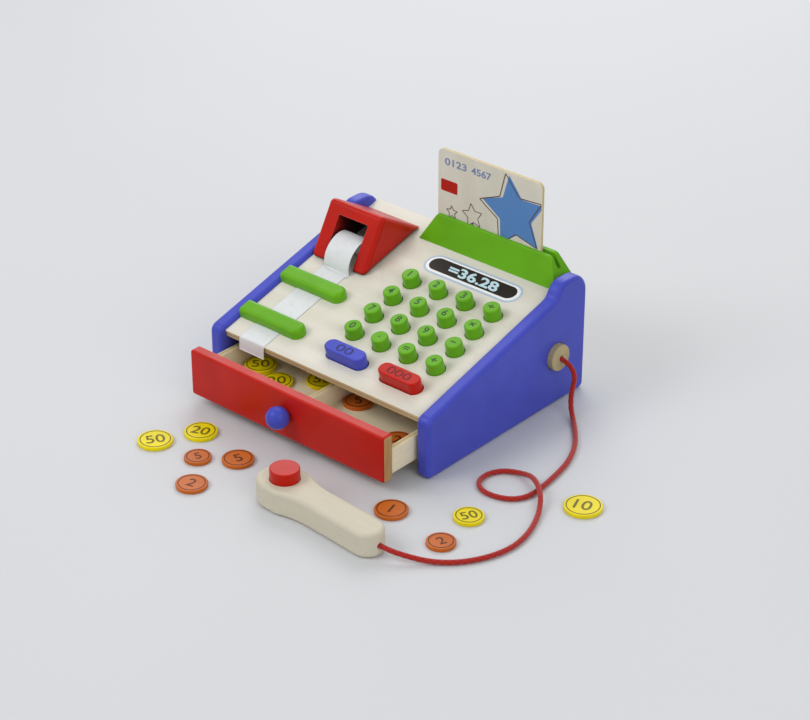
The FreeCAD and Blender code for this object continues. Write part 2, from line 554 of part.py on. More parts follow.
def coins(name, spots, height):
    """Loose discs with softened rims: each spot gives formulas for x and y, and the diameter."""
    discs = []
    for x, y, across in spots:
        disc = new_body("%s_%d" % (name, len(discs)), str(x), str(y), height)
        rod(disc, ("0", "0", "0"), "%s / 2" % across, "coin_thick")
        fillet(disc, level, "coin_round")
        discs.append(disc)
    return group(name, discs)


WALL = "(box_half - box_thick)"
coins("drawer_yellow_coins", [("40.4 - " + WALL, "front_back_y + 35.4", 25.2),
                              ("13.8 - " + WALL, "front_back_y + 45.4", 25.2),
                              ("divider_x - 27.0", "front_back_y + 59.0", 25.2)], "floor_top")
coins("drawer_copper_coins", [("divider_x + 14.0", "front_back_y + 53.8", 22.8),
                              (WALL + " - 16.1", "front_back_y + 31.5", 22.8)], "floor_top")
coins("table_yellow_coins", [(-76.5, -182.7, 26.5), (-59.9, -152.1, 25.2), (162.7, -108.5, 22.4),
                             (215.0, -45.4, 28.2)], "0")
coins("table_copper_coins", [(-36.1, -178.6, 20.4), (-12.1, -161.2, 24.0), (-13.5, -206.9, 23.6),
                             (116.3, -138.0, 24.6), (168.9, -145.7, 21.4)], "0")

# ---------------------------------------------------------------- cord outlet
plug = new_body("cord_plug", "0", "plug_y", "plug_z")
rod(plug, ("plug_back", "0", "0"), "plug_radius", "plug_face - plug_back", "x")
fillet(plug, lambda e: near(e.BoundBox.XMin, value("plug_face")), "plug_round")
rod(plug, ("plug_back", "0", "0"), "plug_flange", "plug_flange_thick", "x")
rod(plug, ("plug_back - 1", "0", "0"), "cord_bore", "plug_face - plug_back + 2", "x", True)
rod(plug, ("plug_back - 1", "0", "0"), "knot_room", "knot_stop - plug_back + 1", "x", True)
node("cord_plug", plug)
knot = new_body("cord_knot", "knot_x", "plug_y", "plug_z")
ball = knot.newObject("PartDesign::AdditiveSphere", "Ball")
bind(ball, Radius="knot_radius")
node("cord_knot", knot)

# ---------------------------------------------------------------- scanner


def scanner_piece(name):
    """A body whose local X runs from the scanner's head to its tail."""
    body = new_body(name, "scanner_x", "scanner_y")
    body.Placement = FreeCAD.Placement(body.Placement.Base,
                                       FreeCAD.Rotation(Vector(0, 0, 1), SIZES["scanner_turn"]))
    return body


shell = scanner_piece("scanner_body")
rod(shell, ("0", "0", "0"), "scanner_head", "scanner_thick")
rod(shell, ("head_stretch", "0", "0"), "scanner_head", "scanner_thick")
block(shell, ("0", "-scanner_head", "0"), ("head_stretch", "2 * scanner_head", "scanner_thick"))
block(shell, ("0", "-scanner_tail", "0"), ("scanner_tail_x", "2 * scanner_tail", "scanner_thick"))
rod(shell, ("scanner_tail_x", "0", "0"), "scanner_tail", "scanner_thick")
fillet(shell, lambda e: runs(e, "z") and near(abs(e.BoundBox.YMin), value("scanner_tail"))
       and e.BoundBox.XMin < value("scanner_tail_x") / 2, "scanner_neck")
fillet(shell, level, "scanner_round")
rod(shell, ("button_x", "0", "-1"), "chamber_radius", "chamber_top + 1", "z", True)
rod(shell, ("button_x", "0", "0"), "button_radius + button_gap", "scanner_thick + 1", "z", True)
rod(shell, ("scanner_tail_x + scanner_tail - bore_depth", "0", "cord_height"), "cord_bore",
    "bore_depth + 1", "x", True)
node("scanner_body", shell)
cover = scanner_piece("scanner_cover")
rod(cover, ("button_x", "0", "0"), "chamber_radius - dowel_fit", "cap_thick")
node("scanner_cover", cover)
button = scanner_piece("scanner_button")
rod(button, ("button_x", "0", "button_flange_low"), "button_radius",
    "scanner_thick + button_rise - button_flange_low")
fillet(button, lambda e: level(e) and e.BoundBox.ZMin > value("scanner_thick"), "button_round")
rod(button, ("button_x", "0", "button_flange_low"), "button_flange", "button_flange_thick")
node("scanner_button", button)
coil = new_body("button_spring", "scanner_x + button_x * cos(scanner_turn * 1deg)",
                "scanner_y + button_x * sin(scanner_turn * 1deg)", "cap_thick")
spring(coil, "button_coil", "button_wire", "button_flange_low - cap_thick")
node("button_spring", coil)

# ---------------------------------------------------------------- cord from the plug to the scanner
# From the knot inside the plug, down to the table, round a loose loop that it crosses once, and into
# the scanner's tail.
CORD = [
    (108.65, 55.3, 41.4), (120.9, 55.3, 41.0), (129.0, 55.2, 31.7), (127.2, 53.4, 19.5), (128.8, 50.2, 8.3),
    (136.9, 43.4, 2.2), (148.0, 31.8, 2.0), (160.9, 15.6, 2.0), (171.3, -6.5, 2.0), (176.2, -32.0, 2.0),
    (179.2, -58.0, 2.0), (173.5, -71.0, 2.0), (161.5, -77.0, 2.0), (148.0, -77.4, 2.0), (138.3, -69.5, 2.0),
    (137.0, -56.5, 2.0), (143.6, -45.5, 2.0), (156.5, -41.2, 3.0), (170.0, -45.0, 7.2), (186.5, -57.5, 7.2),
    (196.0, -70.5, 2.8), (203.4, -85.8, 2.0), (208.6, -101.8, 2.0), (210.4, -118.5, 2.0),
    (206.9, -135.0, 2.0), (199.9, -149.5, 2.0), (190.6, -161.0, 2.0), (179.0, -170.0, 2.4),
    (166.6, -177.9, 5.0), (153.7, -185.43, 9.0), (140.75, -184.48, 9.0),
]
BEND_SHARE = 0.45


def tube(points, radius):
    """A round tube along straight runs joined by tangent arcs; prints and returns the arcs' radii."""
    stops = [Vector(*point) for point in points]
    edges, radii, start = [], [], stops[0]
    for before, corner, after in zip(stops, stops[1:], stops[2:]):
        back_run, on_run = before - corner, after - corner
        cut = BEND_SHARE * min(back_run.Length, on_run.Length)
        half_turn = (math.pi - back_run.getAngle(on_run)) / 2
        bend = cut / math.tan(half_turn)
        first = corner + Vector(back_run).normalize() * cut
        last = corner + Vector(on_run).normalize() * cut
        inward = (first + last) * 0.5 - corner
        reach = bend / math.cos(half_turn) - bend
        middle = corner + inward.normalize() * reach
        edges.append(Part.makeLine(start, first))
        edges.append(Part.Arc(first, middle, last).toShape())
        radii.append(bend)
        start = last
    edges.append(Part.makeLine(start, stops[-1]))
    spine = Part.Wire(edges)
    ring = Part.Wire([Part.makeCircle(radius, stops[0], stops[1] - stops[0])])
    solid = spine.makePipeShell([ring], True, True)
    expected = math.pi * radius ** 2 * spine.Length
    print("cord radii:", " ".join("%.1f" % bend for bend in radii))
    print("cord length %.1f, volume %.0f, section times length %.0f"
          % (spine.Length, solid.Volume, expected))
    if abs(solid.Volume / expected - 1) > 0.01:
        raise ValueError("the cord's tube has the wrong volume")
    return solid


cord = doc.addObject("Part::Feature", "scanner_cord")
cord.Shape = tube(CORD, value("cord_radius"))
node("scanner_cord", cord)

# ---------------------------------------------------------------- checks and files
doc.recompute()
for thing in doc.Objects:
    if "Invalid" in thing.State or "Error" in thing.State:
        raise ValueError("%s failed to build" % thing.Label)
for name, thing in nodes.items():
    if thing.Shape.isNull() or not thing.Shape.isValid() or thing.Shape.Volume <= 0:
        raise ValueError("%s has no valid solid" % name)
os.makedirs("parts", exist_ok=True)
for name, thing in nodes.items():
    thing.Shape.exportStep("parts/%s.step" % name)
print("wrote", len(nodes), "parts")
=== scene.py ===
"""Looks of a wooden toy cash register: painted boards, printed keys and coins, a paper roll, a
play card and a hand scanner on a braided cord. Lengths are in metres: X right, Y back, Z up."""
import json
import math

import bmesh
import bpy
import numpy as np
from bpy.props import (FloatProperty, FloatVectorProperty, IntProperty, PointerProperty,
                       StringProperty)
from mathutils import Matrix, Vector

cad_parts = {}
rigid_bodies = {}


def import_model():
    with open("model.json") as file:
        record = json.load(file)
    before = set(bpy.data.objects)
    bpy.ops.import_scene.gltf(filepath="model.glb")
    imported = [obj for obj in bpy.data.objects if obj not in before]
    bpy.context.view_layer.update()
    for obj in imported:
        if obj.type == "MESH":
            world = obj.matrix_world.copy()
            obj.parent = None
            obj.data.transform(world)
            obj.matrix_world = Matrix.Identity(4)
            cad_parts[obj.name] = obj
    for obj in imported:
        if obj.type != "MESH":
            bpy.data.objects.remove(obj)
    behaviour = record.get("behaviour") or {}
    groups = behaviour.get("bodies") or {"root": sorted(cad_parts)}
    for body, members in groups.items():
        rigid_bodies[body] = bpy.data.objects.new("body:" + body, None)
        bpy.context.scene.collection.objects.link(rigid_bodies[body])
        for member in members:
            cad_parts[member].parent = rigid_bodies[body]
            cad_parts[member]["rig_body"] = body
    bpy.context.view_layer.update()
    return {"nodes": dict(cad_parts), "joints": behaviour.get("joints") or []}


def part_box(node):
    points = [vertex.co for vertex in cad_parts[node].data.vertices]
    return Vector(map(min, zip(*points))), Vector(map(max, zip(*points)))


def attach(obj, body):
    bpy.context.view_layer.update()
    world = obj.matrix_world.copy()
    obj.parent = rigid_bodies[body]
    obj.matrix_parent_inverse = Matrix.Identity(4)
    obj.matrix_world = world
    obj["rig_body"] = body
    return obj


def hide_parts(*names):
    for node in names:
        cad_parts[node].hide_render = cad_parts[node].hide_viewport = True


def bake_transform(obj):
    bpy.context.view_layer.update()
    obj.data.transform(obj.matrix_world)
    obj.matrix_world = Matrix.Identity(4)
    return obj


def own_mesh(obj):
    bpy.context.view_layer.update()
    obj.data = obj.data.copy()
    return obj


bl_info = {
    "name": "Toy Cash Register",
    "version": (1, 0, 0),
    "blender": (4, 5, 0),
    "location": "View3D > Sidebar > Toy Register",
    "description": "Finishes, prints and stage of a wooden toy cash register",
    "category": "Object",
}

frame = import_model()


def length(name, description, default):
    """A size that a user may change, in metres."""
    return FloatProperty(name=name, description=description, default=default, min=0.0,
                         unit="LENGTH", precision=5)


def paint(name, description, red, green, blue):
    """A colour that a user may change, given as it looks on a screen from 0 to 255; the shader
    takes it linear, by the screen's own curve."""
    shares = [level / 255 for level in (red, green, blue)]
    tone = tuple(((c + 0.055) / 1.055) ** 2.4 if c > 10 / 255 else c / 12.92 for c in shares)
    return FloatVectorProperty(name=name, description=description, subtype="COLOR", size=3, min=0.0,
                               max=1.0, default=tone)


class ToySizes(bpy.types.PropertyGroup):
    """Sizes of the prints and of what Blender adds to the boards."""
    print_rise: length("Print thickness", "Height of every print above its surface", 0.00012)
    key_digit: length("Key digit", "Height of the digits on the round keys", 0.0063)
    long_digit: length("Long key digit", "Height of the digits on the long keys", 0.0070)
    soft_edge: length("Softened edge", "Rounding of the plywood's cut edges", 0.0004)
    coin_digit: length("Coin digit", "Height of the numbers on the large coins", 0.0105)
    coin_ring: length("Coin ring", "Width of the ring printed inside a coin's rim", 0.0008)
    display_rim: length("Display rim", "Width of the white rim left at the display's ends", 0.0018)
    display_halo: length("Display halo", "Width of the pale ring round the display's rim", 0.0016)
    display_digit: length("Display digit", "Height of the display's digits", 0.0092)
    cord_width: length("Cord diameter", "Diameter of the scanner's cord", 0.004)
    cord_length: length("Cord length", "Length of the cord from its knot to its end in the scanner",
                        0.4688)
    braid_pitch: length("Braid pitch", "Length of one repeat of the cord's braid", 0.0052)
    roll_gap: length("Roll layer", "Distance between the layers on the end of the roll", 0.00045)
    wire: length("Spring wire", "Radius of the springs' wire", 0.00035)


class ToyColours(bpy.types.PropertyGroup):
    """Colours of paints, prints, paper and wood."""
    blue: paint("Blue paint", "Side panels, knob and long key", 70, 78, 185)
    red: paint("Red paint", "Drawer front, roll housing, long key and button", 184, 26, 12)
    green: paint("Green paint", "Round keys, card rail and bars", 99, 166, 24)
    yellow: paint("Yellow paint", "Large play coins", 226, 208, 8)
    copper: paint("Copper paint", "Small play coins", 190, 98, 34)
    wood_light: paint("Light wood", "Light streaks of the plywood", 222, 218, 206)
    wood_dark: paint("Dark wood", "Dark streaks of the plywood", 213, 208, 193)
    pine: paint("Box wood", "Sides, floor and divider of the drawer", 236, 226, 196)
    ply_core: paint("Ply core", "Inner layers seen on cut plywood", 204, 188, 144)
    end_ply: paint("End ply", "Bare ends of the drawer's front", 178, 142, 92)
    scanner: paint("Scanner wood", "Body of the scanner", 207, 200, 180)
    paper: paint("Paper", "Roll and strip", 222, 224, 226)
    faint_ink: paint("Faint ink", "Small marks on the paper", 150, 156, 164)
    key_ink: paint("Key ink", "Digits on the keys", 34, 74, 20)
    black_ink: paint("Dark ink", "Display's field", 34, 24, 20)
    white_ink: paint("White ink", "Display's rim", 244, 246, 248)
    pale_ink: paint("Pale ink", "Digits of the display", 196, 224, 234)
    halo_ink: paint("Halo ink", "Ring round the display", 180, 194, 214)
    card_ink: paint("Card ink", "Outlines on the card", 84, 54, 50)
    card_blue: paint("Card blue", "Large star on the card", 84, 130, 190)
    card_grey: paint("Card grey", "Digits on the card", 122, 136, 172)
    steel: paint("Steel", "Springs", 150, 150, 155)


class ToyStage(bpy.types.PropertyGroup):
    """Camera, floor and lights."""
    lens: FloatProperty(name="Lens", description="Focal length on a sensor 36 mm wide", min=20,
                        default=108.28)
    camera_turn: FloatProperty(name="Azimuth", default=41.29,
                               description="Camera's angle to the right of the front, in degrees")
    camera_rise: FloatProperty(name="Elevation", default=29.61,
                               description="Camera's angle above the table, in degrees")
    camera_away: length("Distance", "From the camera to the point it looks at", 1.8696)
    aim: FloatVectorProperty(name="Aim", description="Point the camera looks at", subtype="XYZ",
                             unit="LENGTH", default=(0.0, 0.009, 0.0166))
    floor_tone: paint("Floor", "Table under the toy", 203, 205, 208)


# ---------------------------------------------------------------- places, read from the frame
PRESS = next(j for j in frame["joints"] if j["name"] == "key_one_press")["axis"]
SLOPE = math.atan2(PRESS[1], -PRESS[2])
UP_SLOPE = np.array([0.0, math.cos(SLOPE), math.sin(SLOPE)])
OUT = np.array([0.0, -math.sin(SLOPE), math.cos(SLOPE)])
ACROSS = np.array([1.0, 0.0, 0.0])
BACK = np.array([0.0, 1.0, 0.0])
UP = np.array([0.0, 0.0, 1.0])
SUNK = 0.00001  # how deep a print's foot stands in the surface under it


def points_of(mesh):
    """A mesh's vertices as an array."""
    found = np.empty(len(mesh.vertices) * 3, np.float32)
    mesh.vertices.foreach_get("co", found)
    return found.reshape(-1, 3).astype(float)


def corners(node):
    """A node's vertices as an array, in the frame."""
    return points_of(frame["nodes"][node].data)


def deck_corner():
    """The front edge of the deck's upper face, found from the deck's own lowest front corner."""
    points = corners("keyboard_deck")
    along, out = points @ UP_SLOPE, points @ OUT
    return UP_SLOPE * along.min() + OUT * out.max()


DECK = deck_corner()


def deck_box(node):
    """Lowest and highest corner of a node in the deck's axes: across, up the slope, out of it."""
    local = (corners(node) - DECK) @ np.array([ACROSS, UP_SLOPE, OUT]).T
    return local.min(0), local.max(0)


def on_deck(x, along, out):
    """A point of the deck's axes in the frame."""
    return DECK + ACROSS * x + UP_SLOPE * along + OUT * out


# ---------------------------------------------------------------- meshes from arrays
def quads(rows, columns, wrap_rows=False, wrap_columns=False, start=0):
    """Faces of a grid of points counted row by row: point (r, c), (r, c+1), (r+1, c+1), (r+1, c).
    A wrapped side joins its last line to its first."""
    r = np.arange(rows if wrap_rows else rows - 1)[:, None]
    c = np.arange(columns if wrap_columns else columns - 1)[None, :]
    r1, c1 = (r + 1) % rows, (c + 1) % columns
    faces = np.stack([r * columns + c, r * columns + c1, r1 * columns + c1, r1 * columns + c], -1)
    return (faces.reshape(-1, 4) + start).tolist()


def shown(name, data):
    """A new object in the scene for a mesh, a curve, a lamp or a camera."""
    made = bpy.data.objects.new(name, data)
    bpy.context.scene.collection.objects.link(made)
    return made


def filled(curve):
    """The points and faces of a curve or a text, which is then taken away."""
    holder = shown("shape", curve)
    ready = holder.evaluated_get(bpy.context.evaluated_depsgraph_get())
    mesh = bpy.data.meshes.new_from_object(ready)
    shape = points_of(mesh), [list(face.vertices) for face in mesh.polygons]
    bpy.data.objects.remove(holder)
    bpy.data.curves.remove(curve)
    bpy.data.meshes.remove(mesh)
    return shape


def piece(name, shape, finish, body, smooth=False):
    """One object from points and faces, with its material and the body it rides on; one with no
    body is left without a parent."""
    points, faces = shape
    mesh = bpy.data.meshes.new(name)
    mesh.from_pydata(np.asarray(points, float).tolist(), [], faces)
    mesh.materials.append(finish)
    mesh.polygons.foreach_set("use_smooth", np.full(len(mesh.polygons), smooth))
    mesh.validate()
    mesh.update()
    made = shown(name, mesh)
    if body:
        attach(made, body)
    return made


def slab(outline, low, high):
    """A flat print: a closed outline in the plane, counted anticlockwise, stood up from low to
    high, with a side from each corner to the next and the outline itself at both ends."""
    outline = np.asarray(outline, float)
    count = len(outline)
    bottom = np.column_stack([outline, np.full(count, low)])
    top = np.column_stack([outline, np.full(count, high)])
    ring = np.arange(count)
    after = (ring + 1) % count
    sides = np.stack([ring, after, after + count, ring + count], -1).tolist()
    return np.vstack([bottom, top]), sides + [ring[::-1].tolist(), (ring + count).tolist()]


def band(inner, outer, low, high):
    """A flat print between two closed outlines with as many points each: inner foot, outer foot,
    outer top and inner top, joined in a ring."""
    loops = [np.column_stack([loop, np.full(len(loop), z)])
             for loop, z in ((inner, low), (outer, low), (outer, high), (inner, high))]
    return np.vstack(loops), quads(4, len(inner), wrap_rows=True, wrap_columns=True)


def stroke(outline, width):
    """Two outlines half a width inside and outside a closed one: each corner moves along the mean
    of its two sides' normals by half the width over the cosine between them, held above 0.4 at
    sharp tips."""
    before, after = np.roll(outline, 1, 0), np.roll(outline, -1, 0)
    first = (outline - before) / np.linalg.norm(outline - before, axis=1, keepdims=True)
    second = (after - outline) / np.linalg.norm(after - outline, axis=1, keepdims=True)
    normal = np.column_stack([first[:, 1] + second[:, 1], -first[:, 0] - second[:, 0]])
    normal /= np.linalg.norm(normal, axis=1, keepdims=True)
    own = np.column_stack([first[:, 1], -first[:, 0]])
    lean = np.clip((normal * own).sum(1, keepdims=True), 0.4, 1)
    return outline - normal * width / 2 / lean, outline + normal * width / 2 / lean


def circle(radius, count=64):
    """Points of a circle: radius times the cosine and sine of an even turn."""
    turn = np.linspace(0, 2 * math.pi, count, endpoint=False)
    return radius * np.column_stack([np.cos(turn), np.sin(turn)])


def stadium(total, width, count=24):
    """Points of a bar with half-round ends: half a circle as wide as the bar about one end's
    centre, and the same points turned half round for the other end."""
    turn = np.linspace(-math.pi / 2, math.pi / 2, count)
    radius = width / 2
    end = np.column_stack([(total - width) / 2 + radius * np.cos(turn), radius * np.sin(turn)])
    return np.vstack([end, -end])


def rounded(total, width, radius, count=8):
    """Points of a rectangle with round corners: a quarter circle about a corner's centre,
    mirrored into the other three."""
    turn = np.linspace(0, math.pi / 2, count)
    arc = radius * np.column_stack([np.cos(turn), np.sin(turn)])
    across, up = total / 2 - radius, width / 2 - radius
    flip = arc[::-1]
    return np.vstack([arc + [across, up], flip * [-1, 1] + [-across, up], arc * -1 + [-across, -up],
                      flip * [1, -1] + [across, -up]])


def star(radius, share=0.51, soft=0.05, lean=0.0):
    """A five-pointed star turned by lean: tips at the radius and notches at a share of it, 36
    degrees apart. Each is softened to three points: one on either side of it, and one halfway
    back to their mean."""
    turn = math.pi / 2 + lean + np.arange(10) * math.pi / 5
    reach = np.where(np.arange(10) % 2 == 0, radius, radius * share)
    tips = np.column_stack([reach * np.cos(turn), reach * np.sin(turn)])
    before, after = np.roll(tips, 1, 0), np.roll(tips, -1, 0)
    near, far = tips + (before - tips) * soft, tips + (after - tips) * soft
    middle = tips * 0.5 + (near + far) * 0.25
    return np.stack([near, middle, far], 1).reshape(-1, 2)


def lettering(text, size, rise, bold=0.012, wide=None, lean=0.0):
    """Digits and signs as a solid print, centred on the origin: a text object's mesh, stretched
    to a width and sheared by lean times each point's height."""
    capital = 0.7  # a digit's height as a share of the font's size
    curve = bpy.data.curves.new("digits", "FONT")
    curve.body = text
    curve.size = size / capital
    curve.extrude = rise / 2
    curve.offset = size * bold
    points, faces = filled(curve)
    middle = (points.min(0) + points.max(0)) / 2
    points -= [middle[0], middle[1], points[:, 2].min()]
    if wide:
        points[:, 0] *= wide / np.ptp(points[:, 0])
    points[:, 0] += lean * points[:, 1]
    return points, faces


def placed(shape, origin, right=ACROSS, up=UP_SLOPE, turn=0.0):
    """A print moved from its own plane onto a surface: turned in its plane, then origin + x right
    + y up + z out, where out is square to both."""
    points, faces = shape
    out = np.cross(right, up)
    c, s = math.cos(turn), math.sin(turn)
    x, y = points[:, :1], points[:, 1:2]
    return origin + (x * c - y * s) * right + (x * s + y * c) * up + points[:, 2:] * out, faces


def together(shapes):
    """Several prints as one set of points and faces."""
    points, faces, count = [], [], 0
    for some, more in shapes:
        points.append(some)
        faces += [[index + count for index in face] for face in more]
        count += len(some)
    return np.vstack(points), faces


def lengths_along(path):
    """The distance from a path's start to each of its points."""
    return np.concatenate([[0], np.cumsum(np.linalg.norm(np.diff(path, axis=0), axis=1))])


def bezier(start, leave, arrive, end, count):
    """Points of a cubic curve between two ends and their two handles: its four points weighted
    (1-t)^3, 3(1-t)^2 t, 3(1-t) t^2 and t^3."""
    t = np.linspace(0, 1, count)[:, None]
    return ((1 - t) ** 3 * np.asarray(start) + 3 * (1 - t) ** 2 * t * np.asarray(leave)
            + 3 * (1 - t) * t ** 2 * np.asarray(arrive) + t ** 3 * np.asarray(end))


def clipped(outline, limit):
    """A closed outline cut off where its first coordinate passes a limit: each side that crosses
    it gives the point where it does."""
    kept, count = [], len(outline)
    for index in range(count):
        here, after = outline[index], outline[(index + 1) % count]
        if here[0] <= limit:
            kept.append(here)
        if (here[0] <= limit) != (after[0] <= limit):
            kept.append(here + (after - here) * (limit - here[0]) / (after[0] - here[0]))
    return np.array(kept)


def sides_along(path):
    """Two directions square to a path that don't twist: at each point the last one's part along
    the path is taken away, and the other is square to both."""
    ahead = np.gradient(path, axis=0)
    ahead /= np.linalg.norm(ahead, axis=1, keepdims=True)
    side = np.cross(ahead[0], [0.0, 0.0, 1.0])
    sides = [side / np.linalg.norm(side)]
    for direction in ahead[1:]:
        side = sides[-1] - direction * (sides[-1] @ direction)
        sides.append(side / np.linalg.norm(side))
    sides = np.array(sides)
    return sides, np.cross(ahead, sides)


def tube(path, radius, around):
    """Rings round a path: its point + radius (cos t side + sin t up), with a radius for each
    point of each ring, and a cap at each end."""
    sides, ups = sides_along(path)
    turn = np.linspace(0, 2 * math.pi, around, endpoint=False)
    radius = np.broadcast_to(radius, (len(path), around))
    rings = (path[:, None] + radius[..., None] * (np.cos(turn)[None, :, None] * sides[:, None]
                                                  + np.sin(turn)[None, :, None] * ups[:, None]))
    points = rings.reshape(-1, 3)
    faces = quads(len(path), around, wrap_columns=True)
    last = len(points) - around
    return points, faces + [list(range(around))[::-1], list(range(last, last + around))]


def turned(profile, count=64):
    """A closed profile of radius and height turned about the Z axis: radius cos t, radius sin t,
    height."""
    turn = np.linspace(0, 2 * math.pi, count, endpoint=False)
    rings = np.stack([profile[:, :1] * np.cos(turn), profile[:, :1] * np.sin(turn),
                      np.repeat(profile[:, 1:], count, 1)], -1)
    return rings.reshape(-1, 3), quads(len(profile), count, wrap_rows=True, wrap_columns=True)


# ---------------------------------------------------------------- finishes
class Finish:
    """One material: adds shader nodes and joins them to its principled shader."""

    def __init__(self, name, roughness, **sockets):
        self.material = bpy.data.materials.new(name)
        self.material.use_nodes = True
        self.tree = self.material.node_tree
        self.shader = self.tree.nodes["Principled BSDF"]
        self.shader.inputs["Roughness"].default_value = roughness
        for socket, value in sockets.items():
            self.shader.inputs[socket.replace("_", " ")].default_value = value
        self.place = self.add("ShaderNodeTexCoord").outputs["Object"]

    def add(self, kind, **settings):
        """A node with properties set by name."""
        made = self.tree.nodes.new(kind)
        for key, value in settings.items():
            setattr(made, key, value)
        return made

    def join(self, entry, value):
        """Joins a socket to a node's input, or sets the input to a plain value."""
        if isinstance(value, bpy.types.NodeSocket):
            self.tree.links.new(value, entry)
        else:
            entry.default_value = value

    def feed(self, node, **values):
        """Fills a node's inputs by name."""
        for key, value in values.items():
            self.join(node.inputs[key.replace("_", " ")], value)
        return node

    def noise(self, scale, stretch=(1.0, 1.0, 1.0), detail=3.0):
        """Noise in the frame's own lengths, drawn out along an axis where stretch is small."""
        mapping = self.feed(self.add("ShaderNodeMapping"), Vector=self.place, Scale=stretch)
        grain = self.feed(self.add("ShaderNodeTexNoise"), Vector=mapping.outputs[0], Scale=scale,
                          Detail=detail)
        return grain.outputs["Fac"]

    def spread(self, source, low, high, out_low=0.0, out_high=1.0):
        """Maps a range of a value to another range, and clamps it."""
        made = self.feed(self.add("ShaderNodeMapRange"), Value=source, From_Min=low, From_Max=high,
                         To_Min=out_low, To_Max=out_high)
        return made.outputs[0]

    def math(self, operation, first, second=0.0):
        """Arithmetic on two values."""
        made = self.add("ShaderNodeMath", operation=operation)
        for entry, value in zip(made.inputs, (first, second)):
            self.join(entry, value)
        return made.outputs[0]

    def mix(self, factor, first, second):
        """A mix of two colours."""
        made = self.add("ShaderNodeMix", data_type="RGBA")
        self.join(made.inputs[0], factor)
        for entry, value in ((made.inputs[6], first), (made.inputs[7], second)):
            plain = not isinstance(value, bpy.types.NodeSocket)
            self.join(entry, (*value[:3], 1.0) if plain else value)
        return made.outputs[2]

    def along(self, first, second):
        """How far one direction or point reaches along another: their dot product."""
        made = self.add("ShaderNodeVectorMath", operation="DOT_PRODUCT")
        self.join(made.inputs[0], first)
        self.join(made.inputs[1], second)
        return made.outputs["Value"]

    def normal(self):
        """The surface's own direction."""
        return self.add("ShaderNodeNewGeometry").outputs["Normal"]

    def facing(self, direction):
        """How far the surface looks along a direction, from -1 to 1."""
        return self.along(self.normal(), direction)

    def edges(self, width):
        """Near one along sharp edges, where a rounded surface's normal leaves the real one."""
        soft = self.feed(self.add("ShaderNodeBevel", samples=4), Radius=width)
        return self.spread(self.along(soft.outputs[0], self.normal()), 0.97, 0.8)

    def coat(self, colour, rough=None, height=None, strength=0.0, depth=0.0):
        """Joins colour, roughness and relief to the shader, and hands back the material; strength
        and depth are the relief's."""
        self.join(self.shader.inputs["Base Color"], colour)
        if rough is not None:
            self.join(self.shader.inputs["Roughness"], rough)
        if height is not None:
            bump = self.feed(self.add("ShaderNodeBump"), Height=height, Strength=strength,
                             Distance=depth)
            self.join(self.shader.inputs["Normal"], bump.outputs[0])
        return self.material


def shade(colour, factor):
    """A colour made darker or lighter."""
    return tuple(min(1.0, c * factor) for c in colour)


def painted(name, colour, grain, rough, ends, hollow_shade_reach):
    """Satin paint on wood: faint clouds in the colour, edges lightened in random patches, partly as
    paint thinned by wear and partly as a painted edge highlight, grain that shows through as
    relief, and uneven gloss. ends is a colour for the bare ply on faces that look along X, and the
    last argument is how far a hollow reaches that is painted almost black as painted shade."""
    tint = [0.75 * c + 0.25 for c in colour]
    made = Finish(name, rough, Specular_IOR_Level=0.45, Specular_Tint=(*tint, 1.0))
    clouds = made.spread(made.noise(38, detail=2), 0.35, 0.65)
    fibres = made.noise(420, grain, detail=1)
    tone = made.mix(clouds, shade(colour, 0.94), shade(colour, 1.05))
    patches = made.spread(made.noise(420, detail=3), 0.35, 0.7, 0.1, 0.8)
    worn_and_highlit = tuple(0.8 * c + 0.2 * 0.8 for c in colour)  # a fifth of the pale wood shows through where paint is thinned by wear, and the same lightening is a painted edge highlight
    # Edges are lightened in random patches, partly as wear and partly as a painted highlight.
    tone = made.mix(made.math("MULTIPLY", made.edges(width=0.0007), patches), tone, worn_and_highlit)
    if ends is not None:
        side = made.math("GREATER_THAN", made.math("ABSOLUTE", made.facing((1, 0, 0))), 0.75)
        plies = made.spread(made.noise(260, (1.0, 4.0, 0.15), detail=2), 0.4, 0.6)
        tone = made.mix(side, tone, made.mix(plies, shade(ends, 0.8), shade(ends, 1.1)))
    # Painted shade: within that reach, ambient occlusion darkens the hollow's colour almost to
    # black.
    if hollow_shade_reach:
        occlusion_shade = made.feed(made.add("ShaderNodeAmbientOcclusion", samples=8), Distance=hollow_shade_reach)
        tone = made.mix(made.spread(occlusion_shade.outputs["AO"], 0.2, 0.62), shade(colour, 0.05), tone)
    gloss = made.spread(made.noise(60, detail=0), 0.2, 0.8, rough - 0.04, rough + 0.06)
    return made.coat(tone, gloss, fibres, strength=0.12, depth=0.00005)


